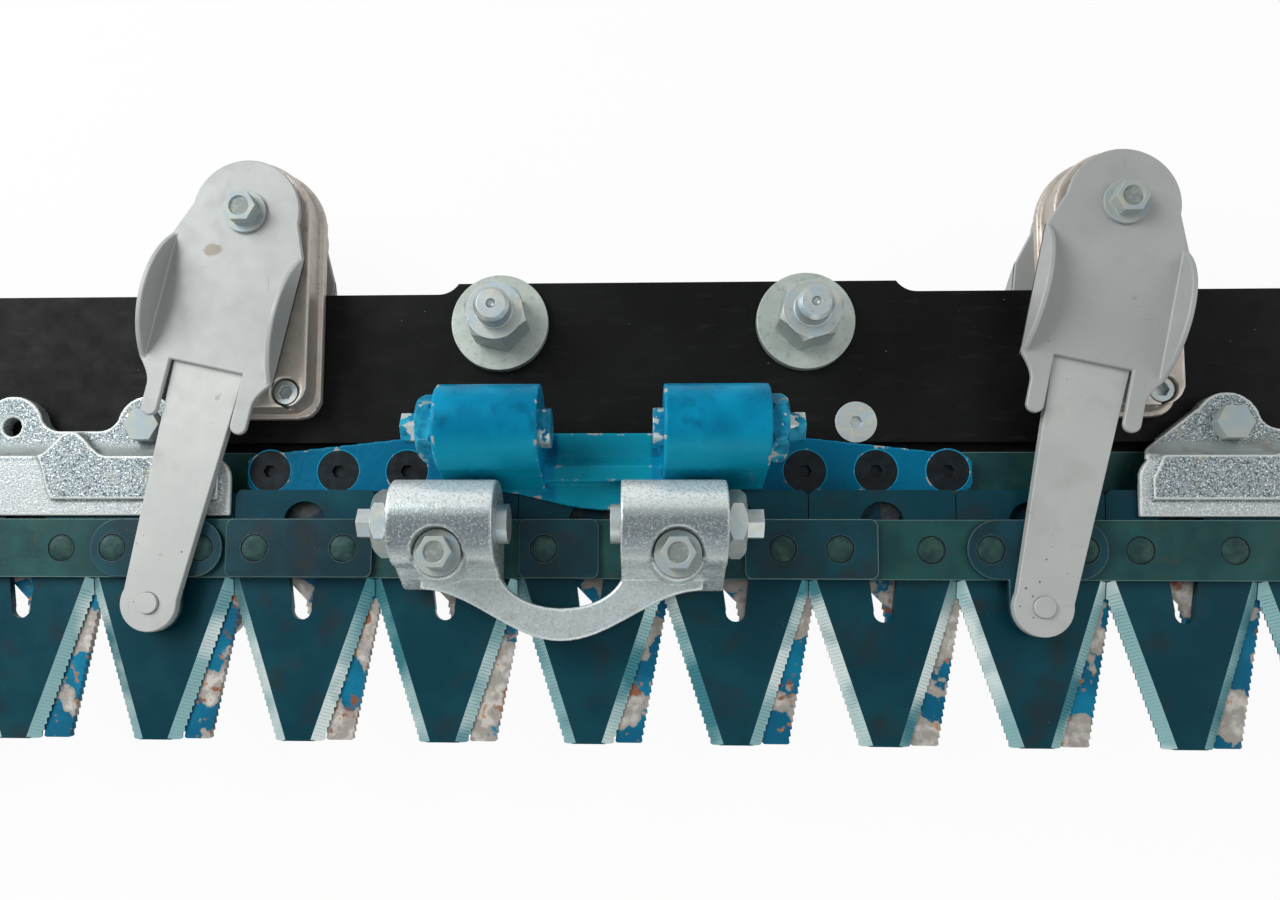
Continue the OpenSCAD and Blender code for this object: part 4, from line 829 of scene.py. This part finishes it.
def cast(node, material, voxel_mm, rounds, web_side=0):
    """A casting: the solid's skin remeshed evenly and relaxed, so that every edge is rounded."""
    obj = copy_of(node)
    if web_side:
        add_web(obj, web_side)
    skin = obj.modifiers.new("skin", "REMESH")
    skin.mode = "VOXEL"
    skin.voxel_size = voxel_mm * MM
    relax = obj.modifiers.new("relax", "SMOOTH")
    relax.factor = 0.5
    relax.iterations = rounds
    settle(obj)
    obj.data.shade_smooth()
    take_place(obj, node, material)


def keep(node, material):
    """A CAD node shown as it is, with its finish."""
    slots = NODES[node].data.materials
    slots.clear()
    slots.append(material)


# Details made with geometry nodes

def start_tree(name, sizes):
    """A geometry node tree with named inputs for its sizes."""
    tree = bpy.data.node_groups.new(name, "GeometryNodeTree")
    tree.interface.new_socket("Geometry", in_out="INPUT", socket_type="NodeSocketGeometry")
    for size, kind in sizes:
        tree.interface.new_socket(size, in_out="INPUT", socket_type=kind)
    tree.interface.new_socket("Geometry", in_out="OUTPUT", socket_type="NodeSocketGeometry")
    return tree, add(tree, "NodeGroupInput")


def end_tree(tree, pieces, material):
    """Instances made real and given their finish."""
    solid = add(tree, "GeometryNodeRealizeInstances", {"Geometry": pieces})
    done = add(tree, "GeometryNodeSetMaterial",
               {"Geometry": solid.outputs[0], "Material": material})
    add(tree, "NodeGroupOutput", {0: done.outputs[0]})


def grow(name, points, tree, sizes, body, turns=None):
    """A piece grown by the tree on its points, as a plain mesh that rides on its body."""
    mesh = bpy.data.meshes.new(name)
    mesh.from_pydata(points, [], [])
    if turns:
        attr = mesh.attributes.new("turn", "FLOAT_VECTOR", "POINT")
        for item, value in zip(attr.data, turns):
            item.vector = value
    obj = bpy.data.objects.new(name, mesh)
    scene.collection.objects.link(obj)
    mod = obj.modifiers.new("grow", "NODES")
    mod.node_group = tree
    ids = {s.name: s.identifier for s in tree.interface.items_tree if s.in_out == "INPUT"}
    for key, value in sizes.items():
        mod[ids[key]] = value
    settle(obj)
    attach(obj, body)


def rib_tree(material):
    """A row of small four-sided ribs on every point, turned by the point's own frame."""
    tree, given = start_tree("bevel_ribs", (
        ("Count", "NodeSocketInt"), ("Pitch", "NodeSocketFloat"), ("Length", "NodeSocketFloat"),
        ("Radius", "NodeSocketFloat")))
    step = add(tree, "ShaderNodeCombineXYZ", {"X": given.outputs["Pitch"]})
    row = add(tree, "GeometryNodeMeshLine",
              {"Count": given.outputs["Count"], "Offset": step.outputs[0]}, mode="OFFSET")
    rib = add(tree, "GeometryNodeMeshCylinder", {"Vertices": 4, "Radius": given.outputs["Radius"],
                                                 "Depth": given.outputs["Length"]})
    laid = add(tree, "GeometryNodeTransform", {"Geometry": rib.outputs["Mesh"],
                                               "Rotation": (math.pi / 2, 0, 0)})
    ribs = add(tree, "GeometryNodeInstanceOnPoints", {"Points": row.outputs[0],
                                                      "Instance": laid.outputs[0]})
    turn = add(tree, "GeometryNodeInputNamedAttribute", {"Name": "turn"},
               data_type="FLOAT_VECTOR")
    as_turn = add(tree, "FunctionNodeEulerToRotation", {0: turn.outputs["Attribute"]})
    rows = add(tree, "GeometryNodeInstanceOnPoints", {"Points": given.outputs["Geometry"],
                                                      "Instance": ribs.outputs[0],
                                                      "Rotation": as_turn.outputs[0]})
    end_tree(tree, rows.outputs[0], material)
    return tree


def make_ribs(material):
    """The ribs that grinding leaves across the bevels: a row on each bevel of the upper knife."""
    lo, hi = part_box("upper_knife_sections")
    mid_x = (lo.x + hi.x) / 2
    half_w = 0.5 * (PITCH - SECTION_SLIT) * MM
    root_y = lo.y + UPPER_EDGE_RUN * MM
    count = round((hi.x - lo.x) / (PITCH * MM))
    run = math.hypot(half_w - UPPER_TIP_HALF * MM, UPPER_EDGE_RUN * MM)
    pitch = RIB_STEP * MM
    ribs = int(run / pitch) - 1
    points, turns = [], []
    for i in range(count):
        x = mid_x + (i - (count - 1) / 2) * PITCH * MM
        for side in (-1, 1):
            a = Vector((x + side * half_w, root_y, 0))
            b = Vector((x + side * UPPER_TIP_HALF * MM, lo.y, 0))
            along = (b - a).normalized()
            inward = Vector((-side, 0, 0))
            inward = (inward - along * inward.dot(along)).normalized()
            slope = (inward * BEVEL_W + Vector((0, 0, BEVEL_DROP))).normalized()
            if along.cross(slope).z < 0:
                a, along = b, -along
            out = along.cross(slope)
            middle = inward * (BEVEL_W / 2 * MM) + Vector((0, 0, hi.z - BEVEL_DROP / 2 * MM))
            spare = (run - (ribs - 1) * pitch) / 2
            points.append(a + along * spare + middle - out * RIB_DEPTH * MM)
            turns.append(Matrix((along, slope, out)).transposed().to_euler())
    sizes = {"Count": ribs, "Pitch": pitch, "Radius": RIB_RADIUS * MM,
             "Length": (math.hypot(BEVEL_W, BEVEL_DROP) - RIB_FREE) * MM}
    grow("upper_bevel_ribs", points, rib_tree(material), sizes, "upper_knife",
         turns)


def ring_tree(material):
    """A thin round ring on every point."""
    tree, given = start_tree("thin_rings", (
        ("Radius", "NodeSocketFloat"), ("Wire", "NodeSocketFloat")))
    path, wire = (add(tree, "GeometryNodeCurvePrimitiveCircle",
                      {"Resolution": corners, "Radius": given.outputs[size]})
                  for corners, size in ((RING_CORNERS, "Radius"), (WIRE_CORNERS, "Wire")))
    ring = add(tree, "GeometryNodeCurveToMesh", {"Curve": path.outputs["Curve"],
                                                 "Profile Curve": wire.outputs["Curve"]})
    rings = add(tree, "GeometryNodeInstanceOnPoints", {"Points": given.outputs["Geometry"],
                                                       "Instance": ring.outputs["Mesh"]})
    end_tree(tree, rings.outputs[0], material)
    return tree


def dome_tree(material):
    """A low round head on every point."""
    tree, given = start_tree("low_heads", (
        ("Radius", "NodeSocketFloat"), ("Height", "NodeSocketFloat")))
    ball = add(tree, "GeometryNodeMeshUVSphere",
               {"Segments": HEAD_ROUND, "Rings": HEAD_UP, "Radius": 1.0})
    soft = add(tree, "GeometryNodeSetShadeSmooth", {"Geometry": ball.outputs["Mesh"]})
    flat = add(tree, "ShaderNodeCombineXYZ",
               {"X": given.outputs["Radius"], "Y": given.outputs["Radius"],
                "Z": given.outputs["Height"]})
    heads = add(tree, "GeometryNodeInstanceOnPoints", {"Points": given.outputs["Geometry"],
                                                       "Instance": soft.outputs[0],
                                                       "Scale": flat.outputs[0]})
    end_tree(tree, heads.outputs[0], material)
    return tree


def tops_of(node):
    """Middle of the top of each separate solid of a node, with its radius."""
    bm = bmesh.new()
    bm.from_mesh(NODES[node].data)
    bmesh.ops.remove_doubles(bm, verts=bm.verts, dist=SAME_POINT * MM)
    left = set(bm.verts)
    found = []
    while left:
        stack = [left.pop()]
        group = []
        while stack:
            v = stack.pop()
            group.append(v.co.copy())
            for e in v.link_edges:
                other = e.other_vert(v)
                if other in left:
                    left.remove(other)
                    stack.append(other)
        xs, ys, zs = zip(*group)
        middle = Vector(((min(xs) + max(xs)) / 2, (min(ys) + max(ys)) / 2, max(zs)))
        found.append((middle, (max(xs) - min(xs)) / 2))
    bm.free()
    return found


def make_rings(name, node, material, spare_mm, wire_mm):
    """Rings round the heads of a node's screws or rivets, mostly sunk into the face they sit in."""
    tops = tops_of(node)
    radius = max(r for _, r in tops) + spare_mm * MM
    points = [middle - Vector((0, 0, WIRE_SUNK * wire_mm * MM)) for middle, _ in tops]
    grow(name, points, ring_tree(material), {"Radius": radius, "Wire": wire_mm * MM},
         BODY_OF[node])


def make_heads(name, node, material, height_mm):
    """Low round heads on a node's rivets, which the hammer leaves a little proud."""
    tops = tops_of(node)
    radius = HEAD_SHARE * max(r for _, r in tops)
    grow(name, [middle for middle, _ in tops], dome_tree(material),
         {"Radius": radius, "Height": height_mm * MM}, BODY_OF[node])


def main():
    """Camera, floor and light, then the finishes, the pieces that wear them and small details."""
    make_camera()
    make_stage()
    make_light()
    covers = arm_paint("cover_enamel", "#AEB2B1", "#B8BBB9")
    fingers = arm_paint("finger_enamel", "#BABEBC", "#C6C9C6")
    zinc, washer, over_zinc = zinc_plate(), dull_zinc(), painted_over_zinc()
    blued, teal, rivet = blued_steel(), teal_steel(), rivet_steel()
    black, block, guide = black_paint(), cast_block(), grainy_zinc()
    blue, silver, blade = blue_paint(), silver_casting(), upper_blade_steel()
    worn, oxide, bronze, skid = worn_blue_blade(), black_oxide(), bush_bronze(), skid_paint()
    eased("main_beam", black, width_mm=0.8)
    eased("hitch_washers", washer)
    for node in ("hitch_studs", "hitch_nuts", "pivot_block_screws", "pivot_nuts", "skid_bolts",
                 "upper_adjusting_screws", "upper_lock_nuts", "beam_screws"):
        eased(node, zinc, width_mm=0.4)
    for node in ("pivot_bolts", "upper_bracket_bolts", "rear_guide_bolts"):
        eased(node, head_zinc(node), width_mm=0.4)
    for node in ("lower_adjusting_screws", "lower_lock_nuts"):
        eased(node, over_zinc, width_mm=0.4)
    eased("lower_bracket_screws", oxide, width_mm=0.3)
    keep("pivot_bushes", bronze)
    for side, sign in (("left", -1), ("right", 1)):
        cast(side + "_pivot_block", block, voxel_mm=1.0, rounds=6)
        cast(side + "_rear_guide", guide, voxel_mm=0.8, rounds=4, web_side=sign)
        eased(side + "_skid_shoe", skid, width_mm=0.8)
        eased(side + "_stiffening_plate", blued, width_mm=0.6, corner_mm=PLATE_CORNER)
        for level in ("upper", "lower"):
            eased(f"{level}_{side}_finger", fingers, width_mm=0.7)
            eased(f"{level}_{side}_cover", covers, width_mm=1.2, segments=4)
            eased(f"{level}_{side}_tip_pin", fingers)
            eased(f"{level}_{side}_ear_plate", blued)
    eased("middle_stiffening_plate", blued, width_mm=0.6, corner_mm=PLATE_CORNER)
    eased("upper_knife_back", teal, width_mm=0.6)
    eased("upper_knife_rivets", rivet, width_mm=0.7, segments=3)
    eased("lower_knife_back", teal, width_mm=0.6)
    for node in ("lower_knife_rivets", "lower_ear_rivets"):
        eased(node, worn, width_mm=0.3)
    keep("upper_knife_sections", blade)
    keep("lower_knife_sections", worn)
    cast("upper_drive_bracket", silver, voxel_mm=0.9, rounds=4)
    cast("lower_drive_bracket", blue, voxel_mm=1.0, rounds=4)
    make_ribs(ground_bevel())
    make_rings("bracket_screw_rims", "lower_bracket_screws", blue, spare_mm=0.25, wire_mm=0.45)
    make_heads("rivet_heads", "upper_knife_rivets", rivet, height_mm=0.5)
    make_rings("rivet_grooves", "upper_knife_rivets", oxide, spare_mm=0.1, wire_mm=0.3)


main()
